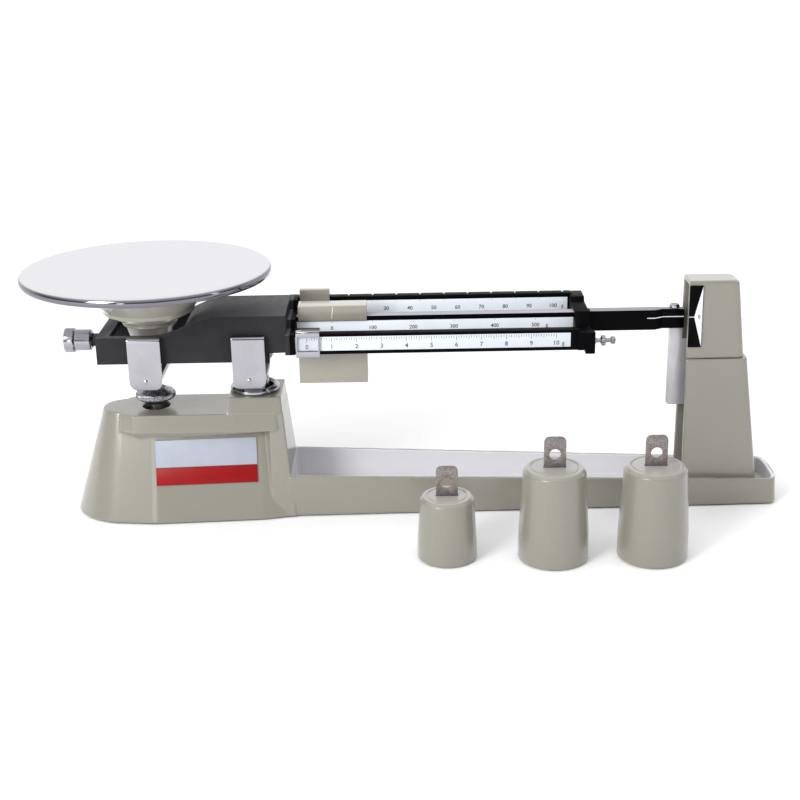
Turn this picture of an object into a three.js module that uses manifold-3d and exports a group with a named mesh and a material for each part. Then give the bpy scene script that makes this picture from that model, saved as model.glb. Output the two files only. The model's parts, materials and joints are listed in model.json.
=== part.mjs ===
// Triple beam balance. Millimetres, +Z up, +X from the pan towards the pointer.
// Shapes are drawn in a working frame: X = 0 near the middle of the beams, Y = 0 on the centre
// line of the beam, Z = 0 on the table. The finished group is shifted so that its origin is the
// bottom centre of its bounding box.

import * as THREE from 'three';
import { ConvexGeometry } from 'three/addons/geometries/ConvexGeometry.js';
import { mergeVertices } from 'three/addons/utils/BufferGeometryUtils.js';
import Module from 'manifold-3d';

const wasm = await Module();
wasm.setup();

// ---------------------------------------------------------------- driving dimensions

const GAP = 0.3;
const FULCRUM_X = -90.5;
const LOAD_X = -153;
const KNIFE_Z = 108;
const CENTRE_X = 4.3;
const CENTRE_Y = -17.2;

const PAN = { radius: 76, top: 155.3, rim: 5.4, sheet: 1.2 };
const HOUSING = { top: 66.5, wall: 3.5, right: -66, rightDraw: 0.095 };
const BAND = { right: -76.5, end: -72.3, foot: 56, chamfer: 50.8, facet: 8 };
const BOSS = { left: -107.5, right: -72.3, top: 76.5, foot: 64.5, half: 20.2, halfTop: 18 };
const PANEL = { left: -153, right: -86, leftY: -36.3, rightY: -32 };
const LABEL = { left: -150.9, right: -88.5, low: 22.7, split: 33, high: 49.3, sheet: 0.5 };
const TRAY = { left: -70, right: 230.6, halfLeft: 27.2, half: 20.6, tail: 7, floor: 6.5 };
const TRAY_SHELL = { underside: 4, wall: 3, lip: 0.9 };
const BASE_FOOT = 1;
const FOOT = { left: -168, leftY: 22, right: 226, rightY: 11, radius: 6.4 };
const TOWER_SCREWS = [['left', 190], ['right', 214]];
const BEAM = { left: -182.5, half: 24.5, inner: 19.5, foot: 101.3, top: 117.8, crown: 130 };
const BARS = { left: -62.8, right: 107.5 };
const FRONT_BAR = { y0: -25, y1: -19, z0: 105.7, z1: 118.5 };
const MIDDLE_BAR = { y0: -4, y1: 4, z0: 110, z1: 123.3 };
const REAR_BAR = { y0: 21, y1: 28, z0: 115, z1: 128.9 };
const NOTCH = { first: -46.2, pitch: 15, count: 11, half: 1, depth: 1 };
const SCALE = { sheet: 0.5, recess: 0.8, gap: 0.3 };
const STRIPS = [
  { name: 'front', bar: FRONT_BAR, low: 107.9, high: 116.6, right: 103.2 },
  { name: 'middle', bar: MIDDLE_BAR, low: 111.5, high: 120.3, right: 107.2 },
  { name: 'rear', bar: REAR_BAR, low: 117.6, high: 126.3, right: 106.4 },
];
const ARM = { left: 115, step: 157, tip: 162.5, right: 176, foot: 111.2, top: 123.8, y0: -4, y1: 3.5 };
const ARM_TIP_Y = -1;
const SCREW = { x: 170, y: 1.2, radius: 1.2 };
const STUD = { y: -25, z: 111.5 };
const REAR_POISE = { left: -61.6, right: -43, y0: 17.9, y1: 31.6, foot: 100.5, top: 135 };
const MIDDLE_POISE = { left: -61.5, right: -19.5, foot: 83.2, half: 12, lip: 120.9, top: 130.5 };
const RIDER = { left: -62, right: -47.6, y0: -26.6, y1: -17.4, foot: 104.2, top: 120.3, frame: 1 };
const TOWER = { left: 176.5, wall: 2.6, seam: 94, foot: 6.8, top: 143 };
const INDEX_TOP = 140.3;
const LINK_Z = 35;
const KNOB = { z: 110, left: -206, flange: -199.7, right: -189.5, bore: 4.5, wall: 1.2, studLeft: -202.8 };
const YOKE = { half: 8, inside: 25.2, outside: 28.7, top: 117.5, strap: 3.4, windowLow: 98, windowHigh: 116 };
const COVER = { half: 10.25, face: 30, sheet: 1, top: 118.8, lip: 25.5, fulcrumFoot: 85.3, panFoot: 85.4 };
const WEIGHTS = [
  { name: 'small', x: 26.1, y: -87.3, foot: 17.3, shoulder: 15.7, height: 39, bore: 12.4, tab: 57 },
  { name: 'large_left', x: 87.6, y: -90, foot: 20.4, shoulder: 18.1, height: 56.5, bore: 14.2, tab: 74.8 },
  { name: 'large_right', x: 145.4, y: -90, foot: 20.4, shoulder: 18.1, height: 56.5, bore: 14.2, tab: 74.8 },
];

// ---------------------------------------------------------------- materials

function finish(color, roughness, metalness) {
  return new THREE.MeshStandardMaterial({ color, roughness, metalness });
}

const ENAMEL = finish(0xa6a399, 0.28, 0);
const BLACK_PAINT = finish(0x222224, 0.38, 0);
const CHROME = finish(0xc6c6ca, 0.15, 1);
const SATIN_STEEL = finish(0xefeef3, 0.34, 1);
const STEEL = finish(0x9a9a9e, 0.35, 1);
const ALUMINIUM = finish(0xb8b6ba, 0.4, 1);
const SCALE_WHITE = finish(0xdde6ee, 0.35, 0);
const LABEL_WHITE = finish(0xbfc2cd, 0.35, 0);
const LABEL_RED = finish(0xa41d22, 0.35, 0);
const INDEX_BLACK = finish(0x101012, 0.4, 0);
const RUBBER = finish(0x1c1c1c, 0.9, 0);
const AGATE = finish(0x6e3b2c, 0.25, 0);
const MAGNET = finish(0x3a3a3e, 0.5, 0.6);

// ---------------------------------------------------------------- shape helpers

const X_AXIS = new THREE.Vector3(1, 0, 0);
const Y_AXIS = new THREE.Vector3(0, 1, 0);
const Z_AXIS = new THREE.Vector3(0, 0, 1);

// Position-only indexed copy with shared vertices, no collapsed triangles and faces pointing out.
function clean(geometry) {
  const bare = geometry.clone();
  bare.deleteAttribute('normal');
  bare.deleteAttribute('uv');
  const merged = mergeVertices(bare, 1e-4);
  const position = merged.attributes.position;
  const source = merged.index.array;
  const corners = [new THREE.Vector3(), new THREE.Vector3(), new THREE.Vector3()];
  const kept = [];
  let volume = 0;
  for (let i = 0; i < source.length; i += 3) {
    const triangle = [source[i], source[i + 1], source[i + 2]];
    if (new Set(triangle).size === 3) {
      triangle.forEach((vertex, k) => corners[k].fromBufferAttribute(position, vertex));
      volume += corners[0].dot(corners[1].cross(corners[2]));
      kept.push(triangle);
    }
  }
  const order = volume < 0 ? kept.map(([a, b, c]) => [a, c, b]) : kept;
  merged.setIndex(order.flat());
  return merged;
}

function toManifold(geometry) {
  const closed = clean(geometry);
  const vertProperties = new Float32Array(closed.attributes.position.array);
  const triVerts = new Uint32Array(closed.index.array);
  return new wasm.Manifold(new wasm.Mesh({ numProp: 3, vertProperties, triVerts }));
}

function toGeometry(manifold) {
  const mesh = manifold.getMesh();
  const geometry = new THREE.BufferGeometry();
  geometry.setAttribute('position', new THREE.BufferAttribute(mesh.vertProperties, 3));
  geometry.setIndex(Array.from(mesh.triVerts));
  return geometry;
}

function join(first, ...others) {
  return toGeometry(others.reduce((sum, shape) => sum.add(toManifold(shape)), toManifold(first)));
}

function cut(first, ...tools) {
  return toGeometry(tools.reduce((rest, tool) => rest.subtract(toManifold(tool)), toManifold(first)));
}

function slab(x0, x1, y0, y1, z0, z1) {
  const box = new THREE.BoxGeometry(x1 - x0, y1 - y0, z1 - z0);
  return box.translate((x0 + x1) / 2, (y0 + y1) / 2, (z0 + z1) / 2);
}

function asShape(outline) {
  if (outline instanceof THREE.Shape) {
    return outline;
  }
  return new THREE.Shape(outline.map(([a, b]) => new THREE.Vector2(a, b)));
}

// Outline in (x, z), solid between two Y values.
function prismAlongY(outline, y0, y1, curveSegments = 12) {
  const options = { depth: y1 - y0, bevelEnabled: false, curveSegments };
  const geometry = new THREE.ExtrudeGeometry(asShape(outline), options);
  return geometry.rotateX(Math.PI / 2).translate(0, y1, 0);
}

// Outline in (y, z), solid between two X values.
function prismAlongX(outline, x0, x1, curveSegments = 12) {
  const options = { depth: x1 - x0, bevelEnabled: false, curveSegments };
  const geometry = new THREE.ExtrudeGeometry(asShape(outline), options);
  geometry.applyMatrix4(new THREE.Matrix4().makeBasis(Y_AXIS, Z_AXIS, X_AXIS));
  return geometry.translate(x0, 0, 0);
}

// Profile of [radius, height] pairs turned about Z.
function turned(profile, segments = 40) {
  const points = profile.map(([radius, height]) => new THREE.Vector2(radius, height));
  return new THREE.LatheGeometry(points, segments).rotateX(Math.PI / 2);
}

// Profile of [radius, x] pairs turned about X.
function turnedAlongX(profile, segments = 32) {
  return turned(profile, segments).rotateY(Math.PI / 2);
}

// Profile of [radius, y] pairs turned about Y.
function turnedAlongY(profile, segments = 24) {
  return turned(profile, segments).rotateX(-Math.PI / 2);
}

function rod(radius, low, high) {
  return [[0, low], [radius, low], [radius, high], [0, high]];
}

function ring(inner, outer, low, high) {
  return [[inner, low], [outer, low], [outer, high], [inner, high], [inner, low]];
}

function hull(points) {
  return new ConvexGeometry(points.map(([x, y, z]) => new THREE.Vector3(x, y, z)));
}

// The points of a half outline and their mirror images in Y, all at one height.
function level(half, z) {
  return half.flatMap(([x, y]) => [[x, y, z], [x, -y, z]]);
}

// Points on a quarter ellipse from (x - a, 0) round to (x, -b).
function noseArc(x, a, b, steps = 7) {
  const turns = Array.from({ length: steps }, (_, i) => (i / (steps - 1)) * (Math.PI / 2));
  return turns.map((t) => [x - a * Math.cos(t), -b * Math.sin(t)]);
}

// Points on a squarish quarter round from (x + a, 0) to (x, -b).
function tailArc(x, a, b, steps = 6) {
  const turns = Array.from({ length: steps }, (_, i) => (i / (steps - 1)) * (Math.PI / 2));
  return turns.map((t) => [x + a * Math.cos(t) ** 0.7, -b * Math.sin(t) ** 0.7]);
}

function place(parent, name, geometry, material, position = [0, 0, 0]) {
  const mesh = new THREE.Mesh(clean(geometry), material);
  mesh.geometry.computeVertexNormals();
  mesh.name = name;
  mesh.position.set(...position);
  parent.add(mesh);
  return mesh;
}

function groupAt(parent, x, y, z) {
  const group = new THREE.Group();
  group.position.set(x, y, z);
  parent.add(group);
  return group;
}

// ---------------------------------------------------------------- base casting

const SLOPE = 0.31;

function housingRight(z) {
  return HOUSING.right - HOUSING.rightDraw * (z - BASE_FOOT);
}

// Half outline of the pan-end housing at one height; every wall but the right one leans in as it rises.
function housingOutline(z, inset) {
  const draw = inset + SLOPE * (z - BASE_FOOT);
  const nose = noseArc(-171, 35.4 - draw, 34 - draw);
  return [
    ...nose,
    [PANEL.left, PANEL.leftY + draw],
    [PANEL.right, PANEL.rightY + draw],
    [-78, -28.7 + draw],
    [housingRight(z) - 0.3 - inset, -27.6 + draw],
  ];
}

// Steeper end block that carries the boss and meets the tray.
function pillarBody() {
  const top = HOUSING.top - 0.2;
  return hull([
    ...level([[-84.5, -18], [-80.5, -28.7], [housingRight(BASE_FOOT), -28.3]], BASE_FOOT),
    ...level([[-84.5, -12], [-80.5, -20.2], [housingRight(top), -19.8]], top),
  ]);
}

// Straight band along the top of the front and rear, with a chamfer under it that fades to the right.
function bandBody() {
  const half = (y, left) => [[left, -y + 5], [left + BAND.facet, -y], [BAND.right, -y], [BAND.end, -y + 3]];
  return hull([
    ...level(half(20.2, -173), HOUSING.top),
    ...level(half(22.5, -173.8), BAND.foot),
    ...level([[-160, -19.6], [-148, -19.6]], BAND.chamfer),
  ]);
}

function housingBody() {
  const body = hull([
    ...level(housingOutline(BASE_FOOT, 0), BASE_FOOT),
    ...level(housingOutline(HOUSING.top, 0), HOUSING.top),
  ]);
  const boss = hull([
    ...level([[BOSS.left, -BOSS.half], [BOSS.right, -BOSS.half]], BOSS.foot),
    ...level([[BOSS.left + 1.8, -BOSS.halfTop], [BOSS.right - 1, -BOSS.halfTop]], BOSS.top),
  ]);
  return join(body, pillarBody(), bandBody(), boss);
}

// Half outline of the tray, which runs from the housing to just past the tower.
function trayOutline(inset, left = TRAY.left) {
  return [
    [left, -TRAY.halfLeft + inset],
    [TRAY.right, -TRAY.half + inset],
    ...tailArc(TRAY.right, TRAY.tail - inset, TRAY.half - inset),
  ];
}

// Tray height falls from the housing to the tower end.
function rimHeight(x) {
  return 26.8 - ((x + 62) / 280) * 9.3;
}

function trayBody() {
  const rim = trayOutline(TRAY_SHELL.lip).flatMap(([x, y]) => [[x, y, rimHeight(x)], [x, -y, rimHeight(x)]]);
  const well = hull([
    ...level(trayOutline(TRAY_SHELL.wall + TRAY_SHELL.lip, TRAY.left - 1), TRAY.floor),
    ...level(trayOutline(TRAY_SHELL.wall, TRAY.left - 1), 40),
  ]);
  return cut(hull([...level(trayOutline(0), BASE_FOOT), ...rim]), well);
}

function baseCasting() {
  const belowTray = hull([
    ...level(trayOutline(TRAY_SHELL.wall), BASE_FOOT - 1),
    ...level(trayOutline(TRAY_SHELL.wall), TRAY_SHELL.underside),
  ]);
  const cavityTop = HOUSING.top - HOUSING.wall;
  const cavity = hull([
    ...level(housingOutline(BASE_FOOT, HOUSING.wall), BASE_FOOT - 1),
    ...level(housingOutline(cavityTop, HOUSING.wall), cavityTop),
  ]);
  const lugs = [[FOOT.left, 22], [-92, 21]].flatMap(([x, y]) => [footLug(x, -y), footLug(x, y)]);
  const stemHole = turned(rod(8.6, 60, 70), 32).translate(LOAD_X, 0, 0);
  const postRecess = turned(rod(13, 70.5, 80), 40).translate(FULCRUM_X, 0, 0);
  const postHole = turned(rod(4.3, 60, 72), 24).translate(FULCRUM_X, 0, 0);
  const towerHoles = TOWER_SCREWS.map(([, x]) => turned(rod(2.3, 0, 10), 16).translate(x, 0, 0));
  const shell = cut(join(housingBody(), trayBody()), cavity, belowTray);
  return cut(join(shell, ...lugs), stemHole, postRecess, postHole, ...towerHoles);
}

// Pad inside the casting that a rubber foot is stuck to.
function footLug(x, y) {
  return turned(rod(7.5, TRAY_SHELL.underside, 13), 20).translate(x, y, 0);
}

// Blank two-colour label, stuck on the leaning front panel of the housing.
function addLabels(parent) {
  const turn = Math.atan((PANEL.rightY - PANEL.leftY) / (PANEL.right - PANEL.left));
  const tilt = Math.atan(SLOPE * Math.cos(turn));
  const panel = groupAt(parent, PANEL.left, PANEL.leftY, BASE_FOOT);
  panel.rotation.z = turn;
  const sheets = [
    ['label_upper', LABEL.split + GAP, LABEL.high, LABEL_WHITE],
    ['label_lower', LABEL.low, LABEL.split, LABEL_RED],
  ];
  for (const [name, low, high, material] of sheets) {
    const x0 = LABEL.left - PANEL.left;
    const x1 = LABEL.right - PANEL.left;
    const sheet = slab(x0, x1, -LABEL.sheet, 0, low / Math.cos(tilt), high / Math.cos(tilt));
    place(panel, name, sheet, material, [0, -GAP, 0]).rotation.x = -tilt;
  }
}

function addBase(parent) {
  place(parent, 'base_casting', baseCasting(), ENAMEL);
  addLabels(parent);
  for (const [end, x, y] of [['left', FOOT.left, FOOT.leftY], ['right', FOOT.right, FOOT.rightY]]) {
    for (const [side, sign] of [['front', -1], ['rear', 1]]) {
      const top = TRAY_SHELL.underside - GAP;
      const profile = [[0, 0], [FOOT.radius - 0.8, 0], [FOOT.radius, 1], [FOOT.radius, top], [0, top]];
      place(parent, `foot_${end}_${side}`, turned(profile, 18), RUBBER, [x, sign * y, 0]);
    }
  }
}

// ---------------------------------------------------------------- knives, bearings and yokes

// Bar along Y with one sharp edge on the turning line; up is +1 or -1 for the way its edge points.
function knifeOutline(up, grow = 0) {
  const half = 3 + grow;
  const back = -up * (7 + grow);
  return [[0, up * grow * 1.4], [half, -up * 3], [half, back], [-half, back], [-half, -up * 3]];
}

function knife(up, y0, y1, grow = 0) {
  return prismAlongY(knifeOutline(up, grow), y0, y1).translate(0, 0, KNIFE_Z);
}

// Stone block with a wide V that faces the knife edge.
function bearing(up, side) {
  const mouth = KNIFE_Z - up * 3.2;
  const vee = KNIFE_Z + up * GAP;
  const back = KNIFE_Z + up * 7.6;
  const outline = [[-4.6, mouth + up * 1.6], [0, vee], [4.6, mouth + up * 1.6], [4.6, back], [-4.6, back]];
  const y = [side * YOKE.inside + side * 0.2, side * YOKE.outside - side * 0.2].sort((a, b) => a - b);
  return prismAlongY(outline, y[0], y[1]);
}

// U-shaped bracket round the beam, with a window in each arm for its bearing.
function yokeFrame(foot) {
  const out = YOKE.outside;
  const inn = YOKE.inside;
  const floor = foot + YOKE.strap;
  const outline = [
    [-out, YOKE.top], [-out, foot + 9], [-out + 7, foot],
    [out - 7, foot], [out, foot + 9], [out, YOKE.top],
    [inn, YOKE.top], [inn, floor + 7], [inn - 6, floor],
    [-inn + 6, floor], [-inn, floor + 7], [-inn, YOKE.top],
  ];
  const frame = prismAlongX(outline, -YOKE.half, YOKE.half);
  return cut(frame, slab(-4.9, 4.9, -40, 40, YOKE.windowLow, YOKE.windowHigh));
}

// Bright stamped cover with rounded lower corners and a lip folded in over the top.
function yokeCover(side, foot) {
  const { half, top, sheet } = COVER;
  const shape = new THREE.Shape();
  shape.moveTo(-half, top);
  shape.lineTo(-half, foot + 6);
  shape.quadraticCurveTo(-half + 0.6, foot, -half + 6.5, foot);
  shape.lineTo(half - 6.5, foot);
  shape.quadraticCurveTo(half - 0.6, foot, half, foot + 6);
  shape.lineTo(half, top);
  const face = side * COVER.face;
  const plateY = [face, face - side * sheet].sort((a, b) => a - b);
  const lipY = [face, side * COVER.lip].sort((a, b) => a - b);
  return join(prismAlongY(shape, ...plateY, 5), slab(-half, half, ...lipY, top - sheet, top));
}

function addFulcrum(parent) {
  const post = groupAt(parent, FULCRUM_X, 0, 0);
  const pedestal = turned([[0, 64], [4, 64], [4, 70.9], [9, 70.9], [9, 84], [0, 84]], 28);
  place(post, 'fulcrum_yoke', join(yokeFrame(83.4), pedestal), STEEL);
  place(post, 'fulcrum_ring', turned([
    [11.6, 71], [12.6, 71], [12.6, 76.8], [15.5, 76.8], [15.5, 78.6], [14.2, 80], [12.6, 80], [11.6, 79],
    [11.6, 71],
  ], 32), CHROME);
  for (const [label, side] of [['front', -1], ['rear', 1]]) {
    place(post, `fulcrum_bearing_${label}`, bearing(-1, side), AGATE);
    place(post, `fulcrum_cover_${label}`, yokeCover(side, COVER.fulcrumFoot), CHROME);
  }
}

// ---------------------------------------------------------------- parallel link inside the housing

function addLinkBracket(parent) {
  const bracket = groupAt(parent, FULCRUM_X, 0, 0);
  const top = HOUSING.top - HOUSING.wall - GAP;
  const frame = join(
    slab(-8, 8, -6.8, 6.8, top - 3, top),
    slab(-6, 6, -6.8, -4.3, LINK_Z - 6, top),
    slab(-6, 6, 4.3, 6.8, LINK_Z - 6, top),
  );
  const pinHole = turnedAlongY(rod(2.8, -12, 12)).translate(0, 0, LINK_Z);
  const postHole = turned(rod(4.6, top - 5, top + 2), 24);
  place(bracket, 'link_bracket', cut(frame, pinHole, postHole), STEEL);
  place(bracket, 'link_pin', turnedAlongY(rod(2.4, -8.3, 8.3)), STEEL, [0, 0, LINK_Z]);
}

function addCheckLink(parent) {
  const arm = LOAD_X - FULCRUM_X;
  const body = join(
    turnedAlongY(rod(5.5, -3, 3)),
    slab(arm + 8, 0, -2.5, 2.5, -2.5, 2.5),
    slab(arm + 6, arm + 10, -7.5, 7.5, -2.5, 2.5),
    slab(arm - 4, arm + 7, -7.5, -5.5, -4, 4),
    slab(arm - 4, arm + 7, 5.5, 7.5, -4, 4),
  );
  const pivot = turnedAlongY(rod(2.8, -5, 5));
  const eye = turnedAlongY(rod(2.4, -9, 9)).translate(arm, 0, 0);
  place(parent, 'check_link', cut(body, pivot, eye), STEEL, [FULCRUM_X, 0, LINK_Z]);
}

// ---------------------------------------------------------------- tower

function towerHalf(z) {
  return 9 + (TOWER.top - z) * 0.037;
}

function towerRight(z) {
  return z > TOWER.seam ? 207.6 + (142 - z) * 0.1 : 214.6 + (92 - z) * 0.1206;
}

// Tapered U-section open towards the beam, between two heights.
function towerShell(z0, z1, grow, closedTop) {
  const outline = (z, inset) => {
    const half = towerHalf(z) + grow - inset;
    const right = towerRight(z) - inset;
    return [[TOWER.left - (inset > 0 ? 5 : 0), -half], [right - 4, -half], [right, -half + 4]];
  };
  const outer = hull([...level(outline(z0, 0), z0), ...level(outline(z1, 0), z1)]);
  const innerTop = closedTop ? z1 - TOWER.wall : z1 + 1;
  const inner = hull([
    ...level(outline(z0, TOWER.wall), z0 - 1),
    ...level(outline(z1, TOWER.wall), innerTop),
  ]);
  return cut(outer, inner);
}

function addTower(parent) {
  const cap = cut(
    towerShell(TOWER.seam + GAP, TOWER.top, 0, true),
    prismAlongY([[204, 150], [212, 150], [212, 134], [208, 139.6], [205.4, 143.1]], -20, 20),
  );
  const lower = towerShell(TOWER.foot, TOWER.seam, 0.9, false);
  const flange = slab(183, 220, -13, 13, TOWER.foot, TOWER.foot + 3);
  const holes = TOWER_SCREWS.map(([, x]) => turned(rod(2.3, 0, 20), 16).translate(x, 0, 0));
  place(parent, 'tower_cap', cap, ENAMEL);
  place(parent, 'tower_lower', cut(join(lower, flange), ...holes), ENAMEL);
  for (const [end, x] of TOWER_SCREWS) {
    const head = TOWER.foot + 3 + GAP;
    const profile = [[0, 4.5], [1.9, 4.5], [1.9, head], [3.6, head], [3.2, head + 2.2], [0, head + 2.6]];
    place(parent, `tower_screw_${end}`, turned(profile, 14), STEEL, [x, 0, 0]);
  }
  const face = -towerHalf(INDEX_TOP) - GAP;
  const plate = slab(176.7, 185, -0.6, 0, -38.5, 0);
  const index = place(parent, 'index_plate', plate, INDEX_BLACK, [0, face, INDEX_TOP]);
  index.rotation.set(-0.037, 0, 0);
  for (const [label, side] of [['front', -1], ['rear', 1]]) {
    const y = [side * 2.4, side * 5.4].sort((a, b) => a - b);
    place(parent, `damper_magnet_${label}`, slab(180, 192, y[0], y[1], 70, 84), MAGNET);
  }
  const keeper = join(
    slab(180, 198, -7.7, -5.7, 68, 86),
    slab(180, 198, 5.7, 7.7, 68, 86),
    slab(195.5, 198, -7.7, 7.7, 68, 86),
  );
  place(parent, 'magnet_keeper', keeper, STEEL);
}

// ---------------------------------------------------------------- beam

// Side outline of the pan-end frame: low at the knob, rising to a flat crown before the bars.
function frameOutline(inset) {
  const shape = new THREE.Shape();
  shape.moveTo(BEAM.left, BEAM.foot);
  shape.lineTo(-98, BEAM.foot);
  shape.lineTo(-82, 106.6);
  shape.lineTo(-67.8, 107);
  shape.lineTo(-67.8, BEAM.crown - inset);
  shape.lineTo(-108, BEAM.crown - inset);
  shape.bezierCurveTo(-122, BEAM.crown - inset, -132, 118.6 - inset, -150, BEAM.top - inset);
  shape.lineTo(BEAM.left, BEAM.top - inset);
  return shape;
}

function beamFrame() {
  const block = prismAlongY(frameOutline(0), -BEAM.half, BEAM.half, 9);
  const tunnel = cut(
    prismAlongY(frameOutline(4), -BEAM.inner, BEAM.inner, 9),
    slab(-72, -60, -30, 30, 90, 140),
  );
  const below = slab(-175, -72, -BEAM.inner, BEAM.inner, 95, 107.2);
  const window = slab(-175, -129, -BEAM.inner, BEAM.inner, 95, 140);
  return cut(block, tunnel, below, window);
}

// Bar with a shallow recess in its face for the scale strip.
function barWithRecess({ bar, low, high, right }) {
  const body = slab(BARS.left - 1, BARS.right + 1, bar.y0, bar.y1, bar.z0, bar.z1);
  const face = bar.y0 + SCALE.recess;
  return cut(body, slab(BARS.left, right + GAP, bar.y0 - 1, face, low - SCALE.gap, high + SCALE.gap));
}

function crosspiece(x0, x1, tops, foot) {
  const [front, middle, rear] = tops;
  return prismAlongX([
    [-27, foot], [29.5, foot + 6], [29.5, rear], [15, rear],
    [13, middle], [-10, middle], [-12, front], [-27, front],
  ], x0, x1);
}

// Flat arm whose front face steps back to a thinner tip.
function pointerArm() {
  const { left, step, tip, right, foot, top, y0, y1 } = ARM;
  const outline = [[left, foot], [right, foot], [right, top - 0.4], [step, top], [left, top]];
  const bar = prismAlongY(outline, y0, y1);
  const plan = [[step, y0 - 0.2], [tip, ARM_TIP_Y], [right + 1, ARM_TIP_Y], [right + 1, y0 - 0.2]];
  return cut(bar, hull([...plan.map(([x, y]) => [x, y, 100]), ...plan.map(([x, y]) => [x, y, 130])]));
}

function notches() {
  return Array.from({ length: NOTCH.count }, (_, k) => {
    const x = NOTCH.first + NOTCH.pitch * k;
    const z = REAR_BAR.z1;
    const vee = [[x - NOTCH.half, z + 0.5], [x, z - NOTCH.depth], [x + NOTCH.half, z + 0.5]];
    return prismAlongY(vee, 15, 35);
  });
}

function beamCasting() {
  const [front, middle, rear] = STRIPS.map(barWithRecess);
  const solid = join(
    beamFrame(),
    crosspiece(-68.5, BARS.left, [118.5, 123.5, 128.9], 106),
    crosspiece(BARS.right, 116, [117.3, 125.5, 128.2], 106),
    slab(112, 117.7, -28, -22, 104, 117.3),
    front,
    middle,
    cut(rear, ...notches()),
    pointerArm(),
    turnedAlongX(rod(4, -189, -182), 24).translate(0, 0, KNOB.z),
  );
  return cut(
    solid,
    knife(-1, -30, 30, GAP).translate(FULCRUM_X, 0, 0),
    knife(1, -30, 30, GAP).translate(LOAD_X, 0, 0),
    turnedAlongX(rod(2.9, -192, -178), 20).translate(0, 0, KNOB.z),
    turnedAlongX(rod(2.3, 114, 120), 16).translate(0, STUD.y, STUD.z),
    slab(166.4, 177, -0.4, 1.6, 105, 113.3),
    turned(rod(SCREW.radius + GAP, 115, 128), 16).translate(SCREW.x, SCREW.y, 0),
  );
}

function addBeam(parent) {
  place(parent, 'beam_casting', beamCasting(), BLACK_PAINT);
  place(parent, 'fulcrum_knife', knife(-1, -28.4, 28.4), STEEL, [FULCRUM_X, 0, 0]);
  place(parent, 'load_knife_front', knife(1, -28.4, -18), STEEL, [LOAD_X, 0, 0]);
  place(parent, 'load_knife_rear', knife(1, 18, 28.4), STEEL, [LOAD_X, 0, 0]);
  for (const { name, bar, low, high, right } of STRIPS) {
    const back = bar.y0 + SCALE.recess - GAP;
    const plate = slab(BARS.left + GAP, right, back - SCALE.sheet, back, low, high);
    place(parent, `scale_plate_${name}`, plate, SCALE_WHITE);
  }
  place(parent, 'zero_stud', turnedAlongX(rod(2.5, KNOB.studLeft, -179), 20), STEEL, [0, 0, KNOB.z]);
  const vane = new THREE.Shape();
  vane.moveTo(167, 113);
  vane.lineTo(167, 64);
  vane.quadraticCurveTo(167, 61, 170, 61);
  vane.lineTo(190, 61);
  vane.lineTo(190, 104);
  vane.lineTo(175.5, 104);
  vane.lineTo(175.5, 113);
  place(parent, 'damping_vane', prismAlongY(vane, 0, 1.2, 6), ALUMINIUM);
  const { radius } = SCREW;
  const head = ARM.top + GAP;
  const screw = [[0, 116], [radius, 116], [radius, head], [3.2, head], [2.9, head + 2], [0, head + 2.6]];
  place(parent, 'pointer_screw', turned(screw, 14), CHROME, [SCREW.x, SCREW.y, 0]);
  const stud = [
    [0, 114.5], [2, 114.5], [2, 118.4], [1.3, 118.8], [1.3, 121], [3.2, 121.6], [3.2, 123.8], [1.3, 124.4],
    [1.3, 127], [2.3, 127.6], [2.3, 129.4], [1.5, 130], [0, 130],
  ];
  place(parent, 'hanging_stud', turnedAlongX(stud, 16), CHROME, [0, STUD.y, STUD.z]);
}

function addZeroKnob(parent) {
  const knob = groupAt(parent, 0, 0, KNOB.z);
  place(knob, 'zero_insert', turnedAlongX(ring(2.8, 4.2, -203, -192), 18), STEEL);
  place(knob, 'zero_knob', turnedAlongX([
    [0, KNOB.left], [7, KNOB.left], [7.7, KNOB.left + 0.8], [7.7, KNOB.flange - 0.6], [7.1, KNOB.flange],
    [6.6, KNOB.flange + 0.3], [6.6, KNOB.right - 0.7], [5.9, KNOB.right], [KNOB.bore, KNOB.right],
    [KNOB.bore, KNOB.left + KNOB.wall], [0, KNOB.left + KNOB.wall],
  ], 28), CHROME);
}

// ---------------------------------------------------------------- poises

// Hollow through which a bar passes, from one end of a poise to the other.
function barSlot(bar) {
  return slab(-80, 0, bar.y0 - 0.5, bar.y1 + 0.4, bar.z0 - 0.4, bar.z1 + 0.4);
}

// Saddle round the notched bar; its top slopes down to the rear.
function rearPoise() {
  const { left, right, y0, y1, foot, top } = REAR_POISE;
  const body = prismAlongX([
    [y0, foot], [y1, foot], [y1, top - 4.4], [y0 + 3.6, top - 0.2], [y0 + 0.6, top], [y0, top - 0.5],
  ], left, right);
  return cut(body, barSlot(REAR_BAR));
}

// Block that hangs under the middle bar from a saddle; the saddle is open in front of the scale.
function middlePoise() {
  const { left, right, foot, half, lip, top } = MIDDLE_POISE;
  const body = prismAlongX([
    [-half, foot], [half, foot], [half, 103.5], [7.6, 105.5], [7.6, top - 0.7], [6.9, top], [-4.7, top],
    [-5.4, top - 0.7], [-5.4, 105.5], [-half, 103.5],
  ], left, right);
  return cut(body, barSlot(MIDDLE_BAR), slab(-80, 0, -20, MIDDLE_BAR.y0, 106.2, lip));
}

// Bright frame that rides on the front bar, with a wide sight opening over the scale.
function frontRider() {
  const { left, right, y0, y1, foot, top, frame } = RIDER;
  const sight = slab(left + frame, right - frame, y0 - 1, -22, 107.9, 116.9);
  return cut(slab(left, right, y0, y1, foot, top), barSlot(FRONT_BAR), sight);
}

function addPoises(parent) {
  place(parent, 'rear_poise', rearPoise(), ENAMEL);
  place(parent, 'middle_poise', middlePoise(), ENAMEL);
  place(parent, 'front_rider', frontRider(), CHROME);
}

// ---------------------------------------------------------------- pan and its carrier

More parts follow.
